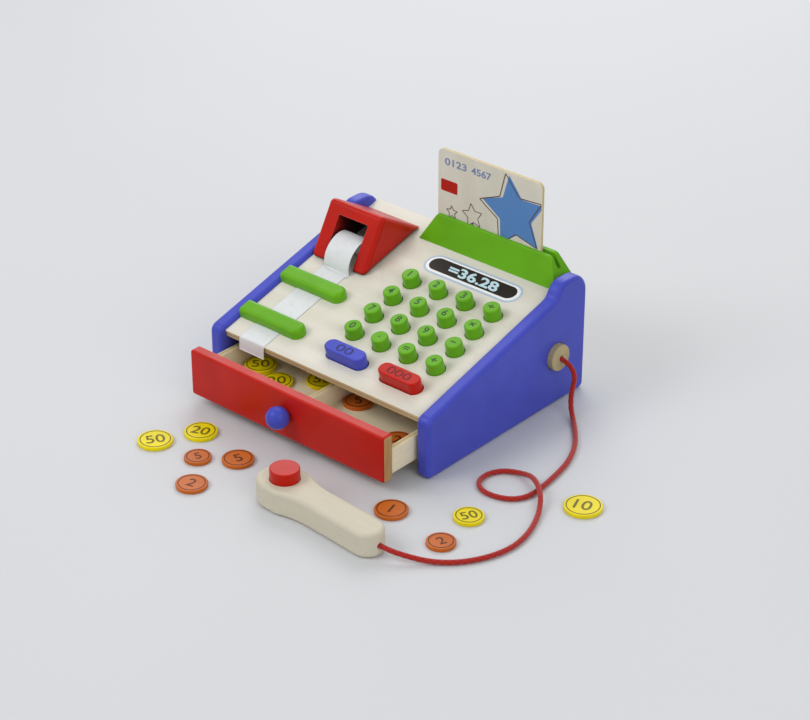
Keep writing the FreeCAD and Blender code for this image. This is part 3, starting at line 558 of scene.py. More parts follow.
def timber(name, light, dark, core, grain, layers=None, rough=0.6):
    """Bare sanded wood with faint streaks along its grain. layers gives a board's normal, where
    its lower face lies along that normal, and its thickness, so that its cut edges show the
    plies: bands counted along the normal wherever the surface faces another way."""
    made = Finish(name, rough, Specular_IOR_Level=0.3)
    streaks = made.noise(620, grain, detail=5)
    broad = made.noise(60, grain, detail=2)
    pores = made.spread(made.noise(2600, grain, detail=1), 0.68, 0.76, 0.0, 0.18)
    tone = made.mix(made.spread(broad, 0.35, 0.68), light, dark)
    tone = made.mix(made.spread(streaks, 0.5, 0.78, 0.0, 0.25), tone, shade(dark, 0.88))
    tone = made.mix(pores, tone, shade(dark, 0.55))
    if layers is not None:
        normal, offset, thick = layers
        ply = made.math("SUBTRACT", made.along(made.place, normal), offset)
        ply = made.math("MULTIPLY", ply, 1 / thick)
        waver = made.math("MULTIPLY", made.noise(300, detail=2), 0.08)
        ply = made.math("FRACT", made.math("ADD", ply, waver))
        middle = made.math("COMPARE", ply, 0.5)
        middle.node.inputs[2].default_value = 0.17  # half the middle ply, as a share of all
        edge = made.math("LESS_THAN", made.math("ABSOLUTE", made.facing(normal)), 0.6)
        cut = made.mix(middle, shade(core, 1.18), shade(core, 0.84))
        cut = made.mix(made.spread(streaks, 0.4, 0.7, 0.0, 0.3), cut, shade(core, 0.7))
        tone = made.mix(edge, tone, cut)
    gloss = made.spread(streaks, 0.3, 0.7, rough - 0.08, rough + 0.1)
    return made.coat(tone, gloss, streaks, strength=0.22, depth=0.00008)


def ink(name, colour, rough):
    """A printed colour with slightly uneven cover."""
    made = Finish(name, rough, Specular_IOR_Level=0.3)
    cover = made.spread(made.noise(1500, detail=3), 0.35, 0.7)
    return made.coat(made.mix(cover, shade(colour, 0.9), shade(colour, 1.1)),
                     made.spread(cover, 0, 1, rough - 0.05, rough + 0.08))


def paper_finish(name, colour):
    """Matte paper with a faint cloudy look-through and fibres."""
    made = Finish(name, 0.85, Specular_IOR_Level=0.2, Sheen_Weight=0.1)
    clouds = made.noise(240, detail=4)
    tone = made.mix(made.spread(clouds, 0.35, 0.65), shade(colour, 0.95), colour)
    return made.coat(tone, None, made.noise(3200, detail=2), strength=0.15, depth=0.00005)


def yarn(name, colour):
    """Braided thread: fine fibres across the strands, and painted shade in the hollows between
    them.
    """
    made = Finish(name, 0.75, Sheen_Weight=0.35, Specular_IOR_Level=0.25)
    depth = made.add("ShaderNodeAttribute", attribute_name="strand")
    fibres = made.noise(4200, detail=3)
    height = made.spread(depth.outputs["Fac"], 0.0, 1.0)
    # Painted shade: the colour falls to 0.62 of itself in the hollows between the strands.
    tone = made.mix(height, shade(colour, 0.62), shade(colour, 1.0))
    tone = made.mix(made.spread(fibres, 0.55, 0.8, 0.0, 0.25), tone, shade(colour, 1.3))
    return made.coat(tone, None, fibres, strength=0.4, depth=0.0001)


def wire_finish(name, colour):
    """Drawn steel wire."""
    made = Finish(name, 0.35, Metallic=1.0)
    lines = made.noise(2400, (0.2, 0.2, 1.0), detail=2)
    return made.coat(made.mix(lines, shade(colour, 0.8), shade(colour, 1.1)),
                     made.spread(lines, 0, 1, 0.25, 0.5))


FINISHES = {}
ALONG_X = (0.12, 1.0, 1.0)  # grain drawn out along X
# Each print's colour, darkened by a factor, and its roughness.
INKS = {
    "white_print": ("white_ink", 1.0, 0.45), "halo_ink": ("halo_ink", 1.0, 0.45),
    "pale_ink": ("pale_ink", 1.0, 0.45), "faint_ink": ("faint_ink", 1.0, 0.45),
    "key_ink": ("key_ink", 1.0, 0.45), "black_ink": ("black_ink", 1.0, 0.55),
    "card_ink": ("card_ink", 1.0, 0.45), "card_blue": ("card_blue", 1.0, 0.45),
    "card_grey": ("card_grey", 1.0, 0.45), "card_red": ("red", 0.9, 0.45),
    "yellow_ink": ("yellow", 0.2, 0.45), "copper_ink": ("copper", 0.2, 0.45),
    "blue_ink": ("blue", 0.3, 0.45), "red_ink": ("red", 0.3, 0.45),
}
# Each paint's colour, its grain, its roughness, the bare ends and the reach of a hollow that is
# painted almost black as painted shade.
PAINTS = {
    "blue_paint": ("blue", (1.0, 1.0, 0.12), 0.32, None, 0.0),
    "red_paint": ("red", ALONG_X, 0.32, None, 0.0),
    "front_paint": ("red", ALONG_X, 0.32, "end_ply", 0.0),
    # The housing's mouth is painted dark inside as painted shade.
    "housing_paint": ("red", ALONG_X, 0.32, None, 0.035),
    "green_paint": ("green", ALONG_X, 0.32, None, 0.0),
    "yellow_paint": ("yellow", (0.4, 1.0, 1.0), 0.35, None, 0.0),
    "copper_paint": ("copper", (0.4, 1.0, 1.0), 0.35, None, 0.0),
}
# Each solid wood's two tones, each a colour and a factor, and its grain.
WOODS = {
    "scanner_wood": (("scanner", 1.0), ("scanner", 0.92), (0.08, 1.0, 1.0)),
    "dowel_wood": (("pine", 1.0), ("pine", 0.85), (0.1, 1.0, 1.0)),
    "plug_wood": (("ply_core", 0.75), ("ply_core", 0.6), (0.1, 1.0, 1.0)),
}
CARD_LAYERS = ((0, 1, 0), 0.0, 0.0031)  # the card's plies, counted along Y


def made_finish(name, colours):
    """A new material for a slot."""
    if name in INKS:
        colour, factor, rough = INKS[name]
        return ink(name, shade(getattr(colours, colour), factor), rough)
    if name in PAINTS:
        colour, grain, rough, ends, hollow_shade_reach = PAINTS[name]
        ends = ends and getattr(colours, ends)
        return painted(name, getattr(colours, colour), grain, rough, ends, hollow_shade_reach)
    if name in WOODS:
        *tones, grain = WOODS[name]
        light, dark = (shade(getattr(colours, colour), factor) for colour, factor in tones)
        return timber(name, light, dark, colours.ply_core, grain)
    if name == "card_wood":
        return timber(name, shade(colours.wood_light, 0.93), shade(colours.wood_dark, 0.94),
                      colours.ply_core, (1.0, 1.0, 0.3), CARD_LAYERS)
    if name == "red_cord":
        return yarn(name, shade(colours.red, 0.85))
    if name == "spring_steel":
        return wire_finish(name, colours.steel)
    return paper_finish(name, {"paper": colours.paper, "core_card": colours.ply_core}[name])


def finish_for(name, colours):
    """The finish of a slot, made the first time it is asked for."""
    if name not in FINISHES:
        FINISHES[name] = made_finish(name, colours)
    return FINISHES[name]


def ply_for(node, colours, light, dark):
    """Plywood of two tones, with its layers across a board's thinnest side and its grain along
    the longest; a board that slopes with the deck is measured in the deck's axes."""
    sloped = node in ("keyboard_deck", "key_tray", "tray_rails")
    low, high = deck_box(node) if sloped else [np.array(corner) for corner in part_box(node)]
    thin = int(np.argmin(high - low))
    axes = np.array([ACROSS, UP_SLOPE, OUT]) if sloped else np.eye(3)
    start = low[thin] + (DECK @ axes[thin] if sloped else 0.0)
    grain = [1.0, 1.0, 1.0]
    grain[0 if sloped else int(np.argmax(high - low))] = 0.07
    name = "ply_" + node
    if name not in FINISHES:
        layers = (tuple(axes[thin]), start, high[thin] - low[thin])
        FINISHES[name] = timber(name, light, dark, colours.ply_core, tuple(grain), layers)
    return FINISHES[name]


def cover(node, finish):
    """Gives a CAD node its finish."""
    data = frame["nodes"][node].data
    data.materials.clear()
    data.materials.append(finish)


def softened(node, width, finish):
    """A copy of a CAD board with its cut edges rounded by a bevel, in place of the sharp one. Its
    loose triangles are merged first, and the flat ones joined into whole faces."""
    weld, flat, sharp = 2e-6, math.radians(0.4), math.radians(35)
    source = frame["nodes"][node]
    shape = bmesh.new()
    shape.from_mesh(source.data)
    bmesh.ops.remove_doubles(shape, verts=shape.verts, dist=weld)
    bmesh.ops.dissolve_limit(shape, angle_limit=flat, verts=shape.verts, edges=shape.edges)
    mesh = bpy.data.meshes.new(node + "_soft")
    shape.to_mesh(mesh)
    shape.free()
    mesh.materials.clear()
    mesh.materials.append(finish)
    mesh.shade_smooth()
    made = shown(node + "_soft", mesh)
    edge = made.modifiers.new("Edges", "BEVEL")
    edge.width = width
    edge.segments = 2
    edge.limit_method = "ANGLE"
    edge.angle_limit = sharp
    edge.harden_normals = True
    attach(made, source["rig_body"])
    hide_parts(node)
    return made


def islands(node):
    """The points of each separate solid of a node, in order of its middle."""
    weld = 1e-6
    shape = bmesh.new()
    shape.from_mesh(frame["nodes"][node].data)
    bmesh.ops.remove_doubles(shape, verts=shape.verts, dist=weld)
    left, found = set(shape.verts), []
    while left:
        waiting = [left.pop()]
        whole = []
        while waiting:
            corner = waiting.pop()
            whole.append(tuple(corner.co))
            for near in [link.other_vert(corner) for link in corner.link_edges]:
                if near in left:
                    left.remove(near)
                    waiting.append(near)
        found.append(np.array(whole))
    shape.free()
    return sorted(found, key=lambda points: tuple(points.mean(0).round(4)))


# ---------------------------------------------------------------- operators
class StageOperator(bpy.types.Operator):
    """Adds the table, soft studio lights and the camera"""
    bl_idname = "toy_register.stage"
    bl_label = "Stage"

    def execute(self, context):
        stage = context.scene.toy_stage
        aim = Vector(stage.aim)
        turn, rise = math.radians(stage.camera_turn), math.radians(stage.camera_rise)
        flat = math.cos(rise)
        back = Vector((math.sin(turn) * flat, -math.cos(turn) * flat, math.sin(rise)))
        lens = bpy.data.cameras.new("camera")
        lens.lens, lens.sensor_width, lens.clip_start, lens.clip_end = stage.lens, 36.0, 0.05, 50.0
        camera = shown("camera", lens)
        camera.location = aim + back * stage.camera_away
        camera.rotation_mode = "QUATERNION"
        camera.rotation_quaternion = (-back).to_track_quat("-Z", "Y")
        context.scene.camera = camera
        table = Finish("table", 0.6)
        cloud = table.noise(3, detail=2)
        tone = table.mix(table.spread(cloud, 0.3, 0.7), shade(stage.floor_tone, 0.985),
                         stage.floor_tone)
        top = bpy.data.meshes.new("table")
        reach = 6.0
        corner_signs = ((-1, -1), (1, -1), (1, 1), (-1, 1))
        top.from_pydata([(reach * x, reach * y, 0) for x, y in corner_signs], [], [[0, 1, 2, 3]])
        top.materials.append(table.coat(tone))
        shown("table", top)
        for name, place, power, width in (("key_light", (-0.8, -1.2, 1.4), 15, 1.0),
                                          ("fill_light", (1.6, -0.5, 1.0), 11, 1.4),
                                          ("rear_light", (-0.7, 1.2, 1.2), 17, 1.6)):
            lamp = bpy.data.lights.new(name, "AREA")
            lamp.energy, lamp.size = power, width
            light = shown(name, lamp)
            light.location = place
            light.rotation_mode = "QUATERNION"
            light.rotation_quaternion = (aim - Vector(place)).to_track_quat("-Z", "Y")
        world = bpy.data.worlds.new("studio")
        world.use_nodes = True
        sky = world.node_tree.nodes["Background"].inputs
        sky["Color"].default_value = (1.0, 1.0, 1.0, 1.0)
        sky["Strength"].default_value = 0.5
        context.scene.world = world
        context.scene.view_settings.view_transform = "Standard"
        return {"FINISHED"}


# From the plug's knot to the scanner's tail: the same points as the cord's solid has.
CORD_ROUTE = [
    (0.10865, 0.0553, 0.0414), (0.1209, 0.0553, 0.041), (0.129, 0.0552, 0.0317),
    (0.1272, 0.0534, 0.0195), (0.1288, 0.0502, 0.0083), (0.1369, 0.0434, 0.0022),
    (0.148, 0.0318, 0.002), (0.1609, 0.0156, 0.002), (0.1713, -0.0065, 0.002),
    (0.1762, -0.032, 0.002), (0.1792, -0.058, 0.002), (0.1735, -0.071, 0.002),
    (0.1615, -0.077, 0.002), (0.148, -0.0774, 0.002), (0.1383, -0.0695, 0.002),
    (0.137, -0.0565, 0.002), (0.1436, -0.0455, 0.002), (0.1565, -0.0412, 0.003),
    (0.17, -0.045, 0.0072), (0.1865, -0.0575, 0.0072), (0.196, -0.0705, 0.0028),
    (0.2034, -0.0858, 0.002), (0.2086, -0.1018, 0.002), (0.2104, -0.1185, 0.002),
    (0.2069, -0.135, 0.002), (0.1999, -0.1495, 0.002), (0.1906, -0.161, 0.002),
    (0.179, -0.17, 0.0024), (0.1666, -0.1779, 0.005), (0.1537, -0.18543, 0.009),
    (0.14075, -0.18448, 0.009),
]


class CordOperator(bpy.types.Operator):
    """Adds the braided cord along a smooth line through its route"""
    bl_idname = "toy_register.cord"
    bl_label = "Cord"

    def execute(self, context):
        sizes, colours = context.scene.toy_sizes, context.scene.toy_colours
        curve = bpy.data.curves.new("route", "CURVE")
        curve.dimensions = "3D"
        line = curve.splines.new("NURBS")
        line.points.add(len(CORD_ROUTE) - 1)
        weighted = np.column_stack([CORD_ROUTE, np.ones(len(CORD_ROUTE))])
        line.points.foreach_set("co", weighted.ravel())
        line.order_u = 3
        line.use_endpoint_u = True
        curve.resolution_u = 24
        path = filled(curve)[0]
        run = lengths_along(path)
        ring_gap, around, strands, hollow = 0.00035, 24, 4, 0.14
        steps = np.linspace(0, run[-1], int(run[-1] / ring_gap))
        path = np.column_stack([np.interp(steps, run, path[:, axis]) for axis in range(3)])
        # The radius swells with the higher of two waves that wind round the cord in opposite
        # directions, so that four strands each way cross like a braid.
        turn = np.linspace(0, 2 * math.pi, around, endpoint=False)[None, :]
        along = (2 * math.pi * steps / sizes.braid_pitch)[:, None]
        strand = np.maximum(np.cos(strands * turn + along), np.cos(strands * turn - along))
        strand = np.clip(strand * 0.5 + 0.5, 0, 1)
        radius = sizes.cord_width / 2 * (1 - hollow + hollow * strand ** 0.7)
        made = piece("braided_cord", tube(path, radius, around), finish_for("red_cord", colours),
                     None, smooth=True)
        # The strand wave is also stored on the points; the cord's finish darkens its low parts as
        # painted shade.
        depth = made.data.attributes.new("strand", "FLOAT", "POINT")
        depth.data.foreach_set("value", strand.ravel().astype(np.float32))
        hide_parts("scanner_cord")
        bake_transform(made)
        cover("cord_knot", finish_for("red_cord", colours))
        cover("cord_plug", finish_for("plug_wood", colours))
        return {"FINISHED"}


class CabinetOperator(bpy.types.Operator):
    """Paints the side panels, and gives the plywood boards their plies and softened edges"""
    bl_idname = "toy_register.cabinet"
    bl_label = "Cabinet"

    def execute(self, context):
        sizes, colours = context.scene.toy_sizes, context.scene.toy_colours
        for node in ("left_side_panel", "right_side_panel"):
            cover(node, finish_for("blue_paint", colours))
        for node in ("keyboard_deck", "base_panel", "back_panel", "key_tray"):
            ply = ply_for(node, colours, colours.wood_light, colours.wood_dark)
            softened(node, sizes.soft_edge, ply)
        for node in ("tray_rails", "drawer_runners", "drawer_stop", "panel_dowels", "roll_axle"):
            cover(node, finish_for("dowel_wood", colours))
        return {"FINISHED"}


KEY_SIGNS = {"one": "1", "two": "2", "three": "3", "divide": "÷",
             "four": "4", "five": "5", "six": "6", "times": "×",
             "seven": "7", "eight": "8", "nine": "9", "minus": "-",
             "zero": "0", "point": ".", "equals": "=", "plus": "+"}
# How wide each sign is printed, as a share of a digit's height; digits keep their own width.
SIGN_WIDTHS = {"-": 0.75, "÷": 0.86, "×": 0.8, "=": 0.82, "+": 0.86, ".": 0.2}
# Each long key's digits, how wide they are printed, its paint and its ink.
LONG_SIGNS = {"blue_long_key": ("00", 0.0150, "blue_paint", "blue_ink"),
              "red_long_key": ("000", 0.0215, "red_paint", "red_ink")}


class KeysOperator(bpy.types.Operator):
    """Paints the keys and prints their digits and signs"""
    bl_idname = "toy_register.keys"
    bl_label = "Keys"

    def execute(self, context):
        sizes, colours = context.scene.toy_sizes, context.scene.toy_colours
        for word, sign in KEY_SIGNS.items():
            wide = SIGN_WIDTHS.get(sign, 0.0) * sizes.key_digit
            shape = lettering(sign, sizes.key_digit, sizes.print_rise, 0.012, wide)
            dye = finish_for("key_ink", colours)
            self.sign("key_" + word, "print_" + word, shape, "green_paint", dye)
        for node, (digits, wide, slot, dye) in LONG_SIGNS.items():
            shape = lettering(digits, sizes.long_digit, sizes.print_rise, 0.004, wide)
            self.sign(node, "print_" + node, shape, slot, finish_for(dye, colours))
        return {"FINISHED"}

    def sign(self, node, name, shape, slot, dye):
        """Paints a key and prints a shape on the middle of its top."""
        cover(node, finish_for(slot, bpy.context.scene.toy_colours))
        low, high = deck_box(node)
        across, along = ((low + high) / 2)[:2]
        piece(name, placed(shape, on_deck(across, along, high[2] - SUNK)), dye, node)


class ReceiptOperator(bpy.types.Operator):
    """Paints the roll housing and the bars, and makes the roll and the paper strip"""
    bl_idname = "toy_register.receipt"
    bl_label = "Receipt roll"

    def execute(self, context):
        sizes, colours = context.scene.toy_sizes, context.scene.toy_colours
        cover("receipt_housing", finish_for("housing_paint", colours))
        for node in ("upper_paper_bar", "lower_paper_bar"):
            cover(node, finish_for("green_paint", colours))
        cover("paper_core", finish_for("core_card", colours))
        self.roll(sizes, colours)
        self.strip(colours)
        self.marks(colours)
        return {"FINISHED"}

    def strip(self, colours):
        """Two sheets carried across along side-view curves: one falls from the roll in a bow and
        ends in a tear, and one lies under the bars and bends down over the deck's front edge."""
        low, high = deck_box("paper_strip")
        middle, half = (low + high)[0] / 2, (high - low)[0] / 2
        mouth = deck_box("receipt_housing")[0][1]
        lift = 0.0003  # above the deck
        tuck = 0.004  # past the housing's mouth, under the upper sheet
        bend = 0.0012  # from the deck's edge to where the sheet starts to bend
        run = np.column_stack([np.linspace(mouth + tuck, bend, 60), np.full(60, lift)])
        lower = np.vstack([run, self.over_edge(corners("paper_strip")[:, 2].min(), bend, lift)])
        shapes = [self.sheet(self.fall(mouth), middle, half, drift=0.0020, tear=0.0018),
                  self.sheet(lower, middle, half, drift=-0.0012, tear=0.0)]
        made = piece("paper_sheets", together(shapes), finish_for("paper", colours), "cabinet",
                     smooth=True)
        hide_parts("paper_strip")

    def fall(self, mouth):
        """Side-view points of the upper sheet: an arc of the roll's outside, a cubic curve that
        bows out of the housing and lands before its mouth, and a short end that lies flat."""
        low, high = deck_box("paper_roll")
        clear = 0.0003
        centre, radius = (low + high) / 2, (high - low)[2] / 2 + clear
        turn = np.radians(np.linspace(5, 52, 8))
        wrap = centre[1:] + radius * np.column_stack([np.cos(turn), np.sin(turn)])
        leave, arrive = wrap[-1] + [-0.0088, 0.0072], [mouth - 0.0032, 0.0150]
        bow = bezier(wrap[-1], leave, arrive, [mouth - 0.0046, 0.0008], 32)
        ends = np.linspace(mouth - 0.0050, mouth - 0.0068, 6)
        flat = np.column_stack([ends, np.full(len(ends), 0.00055)])
        return np.vstack([wrap, bow[1:], flat])

    def over_edge(self, lowest, bend, lift):
        """Side-view points of the bend over the deck's front edge, a cubic curve down to the
        flap's lowest point. It hangs close to the edge, so that the drawer's front clears it when
        the drawer is shut."""
        plane = np.array([UP_SLOPE[1:], OUT[1:]]).T
        # Both are forward of the deck's edge and below it, before they are turned into its slope.
        arrive, end = np.array([[-0.00046, -0.0014], [-0.0004, lowest - DECK[2]]]) @ plane
        return bezier([bend, lift], [-0.0004, 0.00036], arrive, end, 20)

    def sheet(self, line, middle, half, drift, tear):
        """A closed thin sheet. A side-view line is moved across; it drifts sideways with the
        square of the share of its length, ripples by a sine along it, and its last quarter runs
        on by teeth that are a sum of sines across it, so that the end looks torn."""
        thick, ripple_depth, torn_from = 0.0001, 0.00004, 0.75
        across = np.linspace(-1, 1, 41)
        run = lengths_along(line)
        share = run / run[-1]
        ahead = np.gradient(line, axis=0)
        ahead /= np.linalg.norm(ahead, axis=1, keepdims=True)
        out = np.column_stack([ahead[:, 1], -ahead[:, 0]])
        teeth = tear * (0.5 * across + 0.25 * np.sin(9 * across) + 0.12 * np.sin(31 * across + 1))
        slide = np.clip((share - torn_from) / (1 - torn_from), 0, 1)[:, None] * teeth[None, :]
        ripple = ripple_depth * np.sin(share * 60)[:, None] * np.cos(2.2 * across)[None, :]
        x = middle + half * across[None, :] + drift * share[:, None] ** 2
        layers = []
        for lift in (0, thick):
            along, height = (line[:, k:k + 1] + ahead[:, k:k + 1] * slide
                             + out[:, k:k + 1] * (lift + ripple) for k in (0, 1))
            layers.append(on_deck(x[..., None], along[..., None], height[..., None]))
        rows, columns = len(line), len(across)
        count = rows * columns
        bottom, top = quads(rows, columns), quads(rows, columns, start=count)
        rim = np.concatenate([np.arange(columns), np.arange(1, rows) * columns + columns - 1,
                              (rows - 1) * columns + np.arange(columns - 1)[::-1],
                              np.arange(1, rows - 1)[::-1] * columns])
        after = np.roll(rim, -1)
        sides = np.stack([rim, after, after + count, rim + count], -1).tolist()
        faces = [face[::-1] for face in bottom] + top + [face[::-1] for face in sides]
        return np.vstack([layer.reshape(-1, 3) for layer in layers]), faces

    def marks(self, colours):
        """Short faint lines printed on the paper: how far across and up the slope each starts,
        and its length."""
        low, high = deck_box("paper_strip")
        middle = (low + high)[0] / 2
        tall, rise, lift = 0.00035, 0.00004, 0.00041
        marks = []
        for x, along, wide in ((-0.004, 0.047, 0.0011), (0.003, 0.040, 0.0007),
                               (-0.006, 0.0865, 0.0008), (0.005, 0.0115, 0.0009),
                               (-0.002, 0.0125, 0.0006)):
            outline = [(0, 0), (wide, 0), (wide, tall), (0, tall)]
            marks.append(placed(slab(outline, 0, rise), on_deck(middle + x, along, lift)))
        piece("paper_marks", together(marks), finish_for("faint_ink", colours), "cabinet")

    def roll(self, sizes, colours):
        """A profile turned about the axle: a smooth outside, and fine steps on both ends where
        layers show."""
        low, high = deck_box("paper_roll")
        core_low, core_high = deck_box("paper_core")
        step, clear = 0.00012, 0.00002
        outer, inner = (high[2] - low[2]) / 2, (core_high[2] - core_low[2]) / 2 + clear
        half = (high[0] - low[0]) / 2
        radii = np.arange(inner, outer, sizes.roll_gap / 2)
        ends = half - np.where(np.arange(len(radii)) % 2 == 0, 0.0, step)
        profile = np.vstack([np.column_stack([radii, ends]), [[outer, half], [outer, -half]],
                             np.column_stack([radii, -ends])[::-1]])
        points, faces = turned(profile)
        centre = on_deck(*(low + high) / 2)
        points = centre + points[:, 2:] * ACROSS + points[:, :1] * UP_SLOPE + points[:, 1:2] * OUT
        made = piece("layered_roll", (points, faces), finish_for("paper", colours), "roll")
        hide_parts("paper_roll")


# The card's prints, each at a place counted from its lower left corner.
CARD_CHIP = {"place": (0.0110, 0.0342), "size": (0.0164, 0.0098), "corner": 0.0013}
CARD_STAR = {"place": (0.0755, 0.0309), "radius": 0.0315, "lean": 11}
# Its outlined stars: place, radius, lean in degrees and width of line.
CARD_LINES = ((0.0732, 0.0309, 0.0322, 13, 0.0007), (0.0140, 0.0132, 0.0055, 3, 0.0005),
              (0.0345, 0.0167, 0.0103, 10, 0.0005), (0.0352, 0.0052, 0.0058, 4, 0.0005))
# Its groups of digits: place, and how wide each is printed.
CARD_DIGITS = (("0123", 0.0172, 0.0546, 0.0215), ("4567", 0.0424, 0.0546, 0.0195))
CARD_DIGIT_HEIGHT = 0.0056


class CardOperator(bpy.types.Operator):
    """Paints the card rail and prints the play card"""
    bl_idname = "toy_register.card"
    bl_label = "Rail and card"

    def execute(self, context):
        sizes, colours = context.scene.toy_sizes, context.scene.toy_colours
        cover("card_rail", finish_for("green_paint", colours))
        cover("play_card", finish_for("card_wood", colours))
        low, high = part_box("play_card")
        corner = np.array([low.x, low.y + SUNK, low.z])
        rise, margin, sliver = sizes.print_rise, 0.0003, 0.0001
        edge = high.x - low.x - margin

        def printed(name, shapes, dye):
            shape = placed(together(shapes), corner, ACROSS, UP)
            piece(name, shape, finish_for(dye, colours), "card")

        chip = rounded(*CARD_CHIP["size"], CARD_CHIP["corner"]) + np.array(CARD_CHIP["place"])
        printed("card_chip", [slab(chip, 0, rise)], "card_red")
        big = star(CARD_STAR["radius"], lean=math.radians(CARD_STAR["lean"]))
        big = clipped(big + np.array(CARD_STAR["place"]), edge)
        printed("card_star", [slab(big, 0, rise)], "card_blue")
        lines = []
        for x, z, radius, lean, width in CARD_LINES:
            inner, outer = stroke(star(radius, lean=math.radians(lean)) + [x, z], width)
            beyond = np.maximum(inner[:, 0], outer[:, 0]) > edge
            inner[beyond, 0], outer[beyond, 0] = edge - sliver, edge
            lines.append(band(inner, outer, 0, 1.7 * rise))
        printed("card_lines", lines, "card_ink")
        digits = []
        for text, x, z, wide in CARD_DIGITS:
            points, faces = lettering(text, CARD_DIGIT_HEIGHT, rise, bold=0.03, wide=wide)
            digits.append((points + [x, z, 0], faces))
        printed("card_digits", digits, "card_grey")
        return {"FINISHED"}


class DisplayOperator(bpy.types.Operator):
    """Prints the display: a pale ring, a white rim, a dark field and bold leaning digits"""
    bl_idname = "toy_register.display"
    bl_label = "Display"
    reading: StringProperty(name="Reading", description="What the display shows", default="=36.28")

    def execute(self, context):
        sizes, colours = context.scene.toy_sizes, context.scene.toy_colours
        cover("display_plate", finish_for("white_print", colours))
        low, high = deck_box("display_plate")
        middle, (wide, tall) = (low + high) / 2, (high - low)[:2]
        rise, halo = sizes.print_rise, sizes.display_halo
        board = on_deck(middle[0], middle[1], 0.0)
        top = on_deck(middle[0], middle[1], high[2] - SUNK)
        # The plate's own length and height, and how far each print goes past them.
        ring = stadium(wide + 2 * halo + 0.0022, tall + 2 * halo + 0.0032)
        white = stadium(wide + 0.0016, tall + 0.0024)
        field = stadium(wide - 2 * sizes.display_rim, tall - 0.0014)
        digits = lettering(self.reading, sizes.display_digit, 2 * rise, bold=0.045, wide=0.0480,
                           lean=-0.3)
        for name, shape, origin, dye in (
                ("display_halo", slab(ring, 0, rise), board, "halo_ink"),
                ("display_white", slab(white, 0, 1.5 * rise), board, "white_print"),
                ("display_field", slab(field, 0, rise), top, "black_ink"),
                ("display_digits", digits, top + ACROSS * 0.0008, "pale_ink")):
            piece(name, placed(shape, origin), finish_for(dye, colours), "cabinet")
        return {"FINISHED"}


class DrawerOperator(bpy.types.Operator):
    """Paints the drawer's front and knob, and gives its boards their plies"""
    bl_idname = "toy_register.drawer"
    bl_label = "Drawer"

    def execute(self, context):
        sizes, colours = context.scene.toy_sizes, context.scene.toy_colours
        cover("drawer_front", finish_for("front_paint", colours))
        cover("drawer_knob", finish_for("blue_paint", colours))
        cover("knob_peg", finish_for("dowel_wood", colours))
        for name in ("left_side", "right_side", "back", "floor", "divider"):
            node = "drawer_" + name
            ply = ply_for(node, colours, colours.pine, shade(colours.pine, 0.88))
            softened(node, sizes.soft_edge, ply)
        return {"FINISHED"}


class ScannerOperator(bpy.types.Operator):
    """Finishes the scanner's body, its bottom cover and its button"""
    bl_idname = "toy_register.scanner"
    bl_label = "Scanner"

    def execute(self, context):
        colours = context.scene.toy_colours
        cover("scanner_body", finish_for("scanner_wood", colours))
        cover("scanner_cover", finish_for("dowel_wood", colours))
        cover("scanner_button", finish_for("red_paint", colours))
        return {"FINISHED"}


COIN_NUMBERS = {"yellow": ("50", "20", "50", "10"), "copper": ("5", "2", "5", "1", "2")}


class CoinsOperator(bpy.types.Operator):
    """Paints the play coins and prints a ring and a number on each"""
    bl_idname = "toy_register.coins"
    bl_label = "Play coins"
    turn_step: IntProperty(name="Scatter", default=47,
                           description="Changes how far each coin's number is turned")

    def execute(self, context):
        sizes, colours = context.scene.toy_sizes, context.scene.toy_colours
        full_width = 0.026  # of a coin whose number has its full height
        rim = 0.0016  # left plain round each ring
        middle_turn, sway = 41, 25  # degrees that the numbers are turned, and how far that varies
        count = 0
        for place, body in (("drawer", "drawer"), ("table", "loose_coins")):
            for colour, numbers in COIN_NUMBERS.items():
                node = f"{place}_{colour}_coins"
                cover(node, finish_for(colour + "_paint", colours))
                shapes = []
                for index, disc in enumerate(islands(node)):
                    low, high = disc.min(0), disc.max(0)
                    wide = (high - low)[0]
                    origin = np.append((low + high)[:2] / 2, high[2] - SUNK)
                    size = sizes.coin_digit * wide / full_width
                    number = lettering(numbers[index % len(numbers)], size, sizes.print_rise)
                    radius = wide / 2 - rim
                    ring = band(circle(radius - sizes.coin_ring), circle(radius), 0,
                                sizes.print_rise)
                    turn = math.radians(middle_turn + sway * math.sin(count * self.turn_step))
                    shapes += [placed(number, origin, ACROSS, BACK, turn),
                               placed(ring, origin, ACROSS, BACK)]
                    count += 1
                dye = finish_for(colour + "_ink", colours)
                piece(node + "_prints", together(shapes), dye, body)
        return {"FINISHED"}


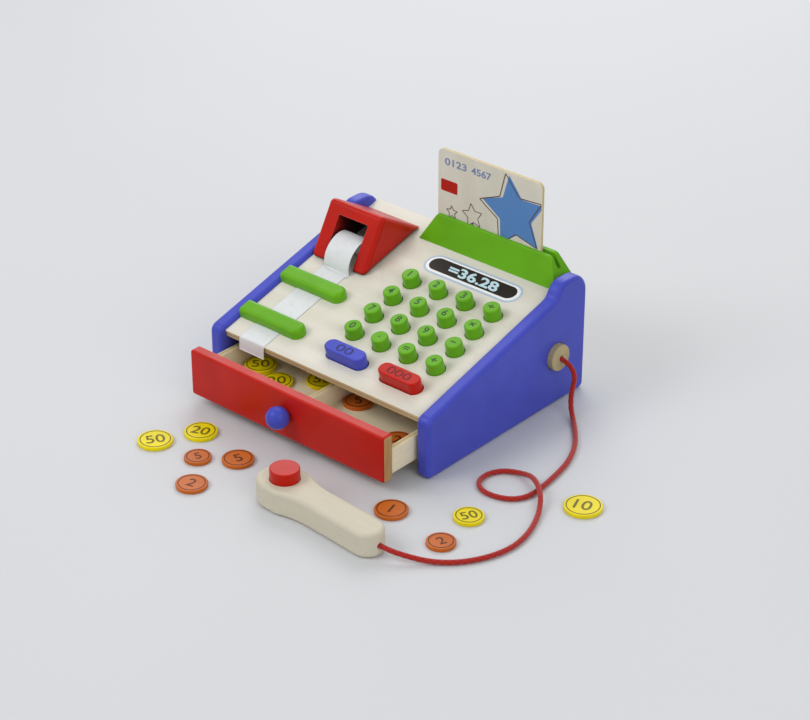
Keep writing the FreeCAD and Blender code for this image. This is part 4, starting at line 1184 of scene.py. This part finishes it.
class SpringsOperator(bpy.types.Operator):
    """Winds the coil springs under the keys and under the scanner's button"""
    bl_idname = "toy_register.springs"
    bl_label = "Springs"
    turns: FloatProperty(name="Turns", description="Turns of wire in each spring", default=3.0,
                         min=1.0)

    def execute(self, context):
        sizes, colours = context.scene.toy_sizes, context.scene.toy_colours
        for node, home, axis, side in (("key_springs", "cabinet", OUT, UP_SLOPE),
                                       ("button_spring", "scanner", UP, BACK)):
            for index, sleeve in enumerate(islands(node)):
                pressed = self.above(sleeve.mean(0)) if node == "key_springs" else "scanner_button"
                shape, foot, tall = self.coil(sleeve, axis, side, sizes.wire)
                steel = finish_for("spring_steel", colours)
                made = piece(f"{node}_{index + 1}", shape, steel, home, smooth=True)
                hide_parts(node)
                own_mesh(made)
        return {"FINISHED"}

    def above(self, point):
        """The key whose outline on the deck holds a point."""
        across, along = (point - DECK) @ ACROSS, (point - DECK) @ UP_SLOPE
        for name in list(LONG_SIGNS) + ["key_" + word for word in KEY_SIGNS]:
            low, high = deck_box(name)
            if low[0] < across < high[0] and low[1] < along < high[1]:
                return name
        raise ValueError("a spring stands under no key")

    def coil(self, sleeve, axis, side, wire):
        """A helix of round wire between a sleeve's two ends: its middle + radius (cos t, sin t),
        with an even climb. Also gives the middle of its foot and its height."""
        local = sleeve @ np.array([ACROSS, side, axis]).T
        low, high = local.min(0), local.max(0)
        middle = (low + high) / 2
        radius = (high - low)[0] / 2 - wire
        points_per_turn = 20
        turn = np.linspace(0, 2 * math.pi * self.turns, int(points_per_turn * self.turns))
        climb = np.linspace(low[2] + wire, high[2] - wire, len(turn))
        path = ((middle[0] + radius * np.cos(turn))[:, None] * ACROSS
                + (middle[1] + radius * np.sin(turn))[:, None] * side + climb[:, None] * axis)
        foot = middle[0] * ACROSS + middle[1] * side + low[2] * axis
        return tube(path, wire, around=8), foot, high[2] - low[2]


OPERATORS = (StageOperator, CordOperator, CabinetOperator, KeysOperator, ReceiptOperator,
             CardOperator, DisplayOperator, DrawerOperator, ScannerOperator, CoinsOperator,
             SpringsOperator)


class RegisterPanel(bpy.types.Panel):
    """The toy register's pieces in the sidebar of the 3D view"""
    bl_idname = "VIEW3D_PT_toy_register"
    bl_label = "Toy Register"
    bl_space_type = "VIEW_3D"
    bl_region_type = "UI"
    bl_category = "Toy Register"

    def draw(self, context):
        for group in (context.scene.toy_sizes, context.scene.toy_colours, context.scene.toy_stage):
            box = self.layout.box()
            for name in group.__annotations__:
                box.prop(group, name)
        for operator in OPERATORS:
            self.layout.operator(operator.bl_idname)


GROUPS = (("toy_sizes", ToySizes), ("toy_colours", ToyColours), ("toy_stage", ToyStage))


def register():
    """Registers the settings, the operators and the panel."""
    for name, group in GROUPS:
        bpy.utils.register_class(group)
        setattr(bpy.types.Scene, name, PointerProperty(type=group))
    for kind in OPERATORS + (RegisterPanel,):
        bpy.utils.register_class(kind)


def unregister():
    """Takes them away again."""
    for kind in reversed(OPERATORS + (RegisterPanel,)):
        bpy.utils.unregister_class(kind)
    for name, group in GROUPS:
        delattr(bpy.types.Scene, name)
        bpy.utils.unregister_class(group)


def main():
    register()
    for kind in OPERATORS:
        group, name = kind.bl_idname.split(".")
        getattr(getattr(bpy.ops, group), name)()


if __name__ == "__main__":
    main()
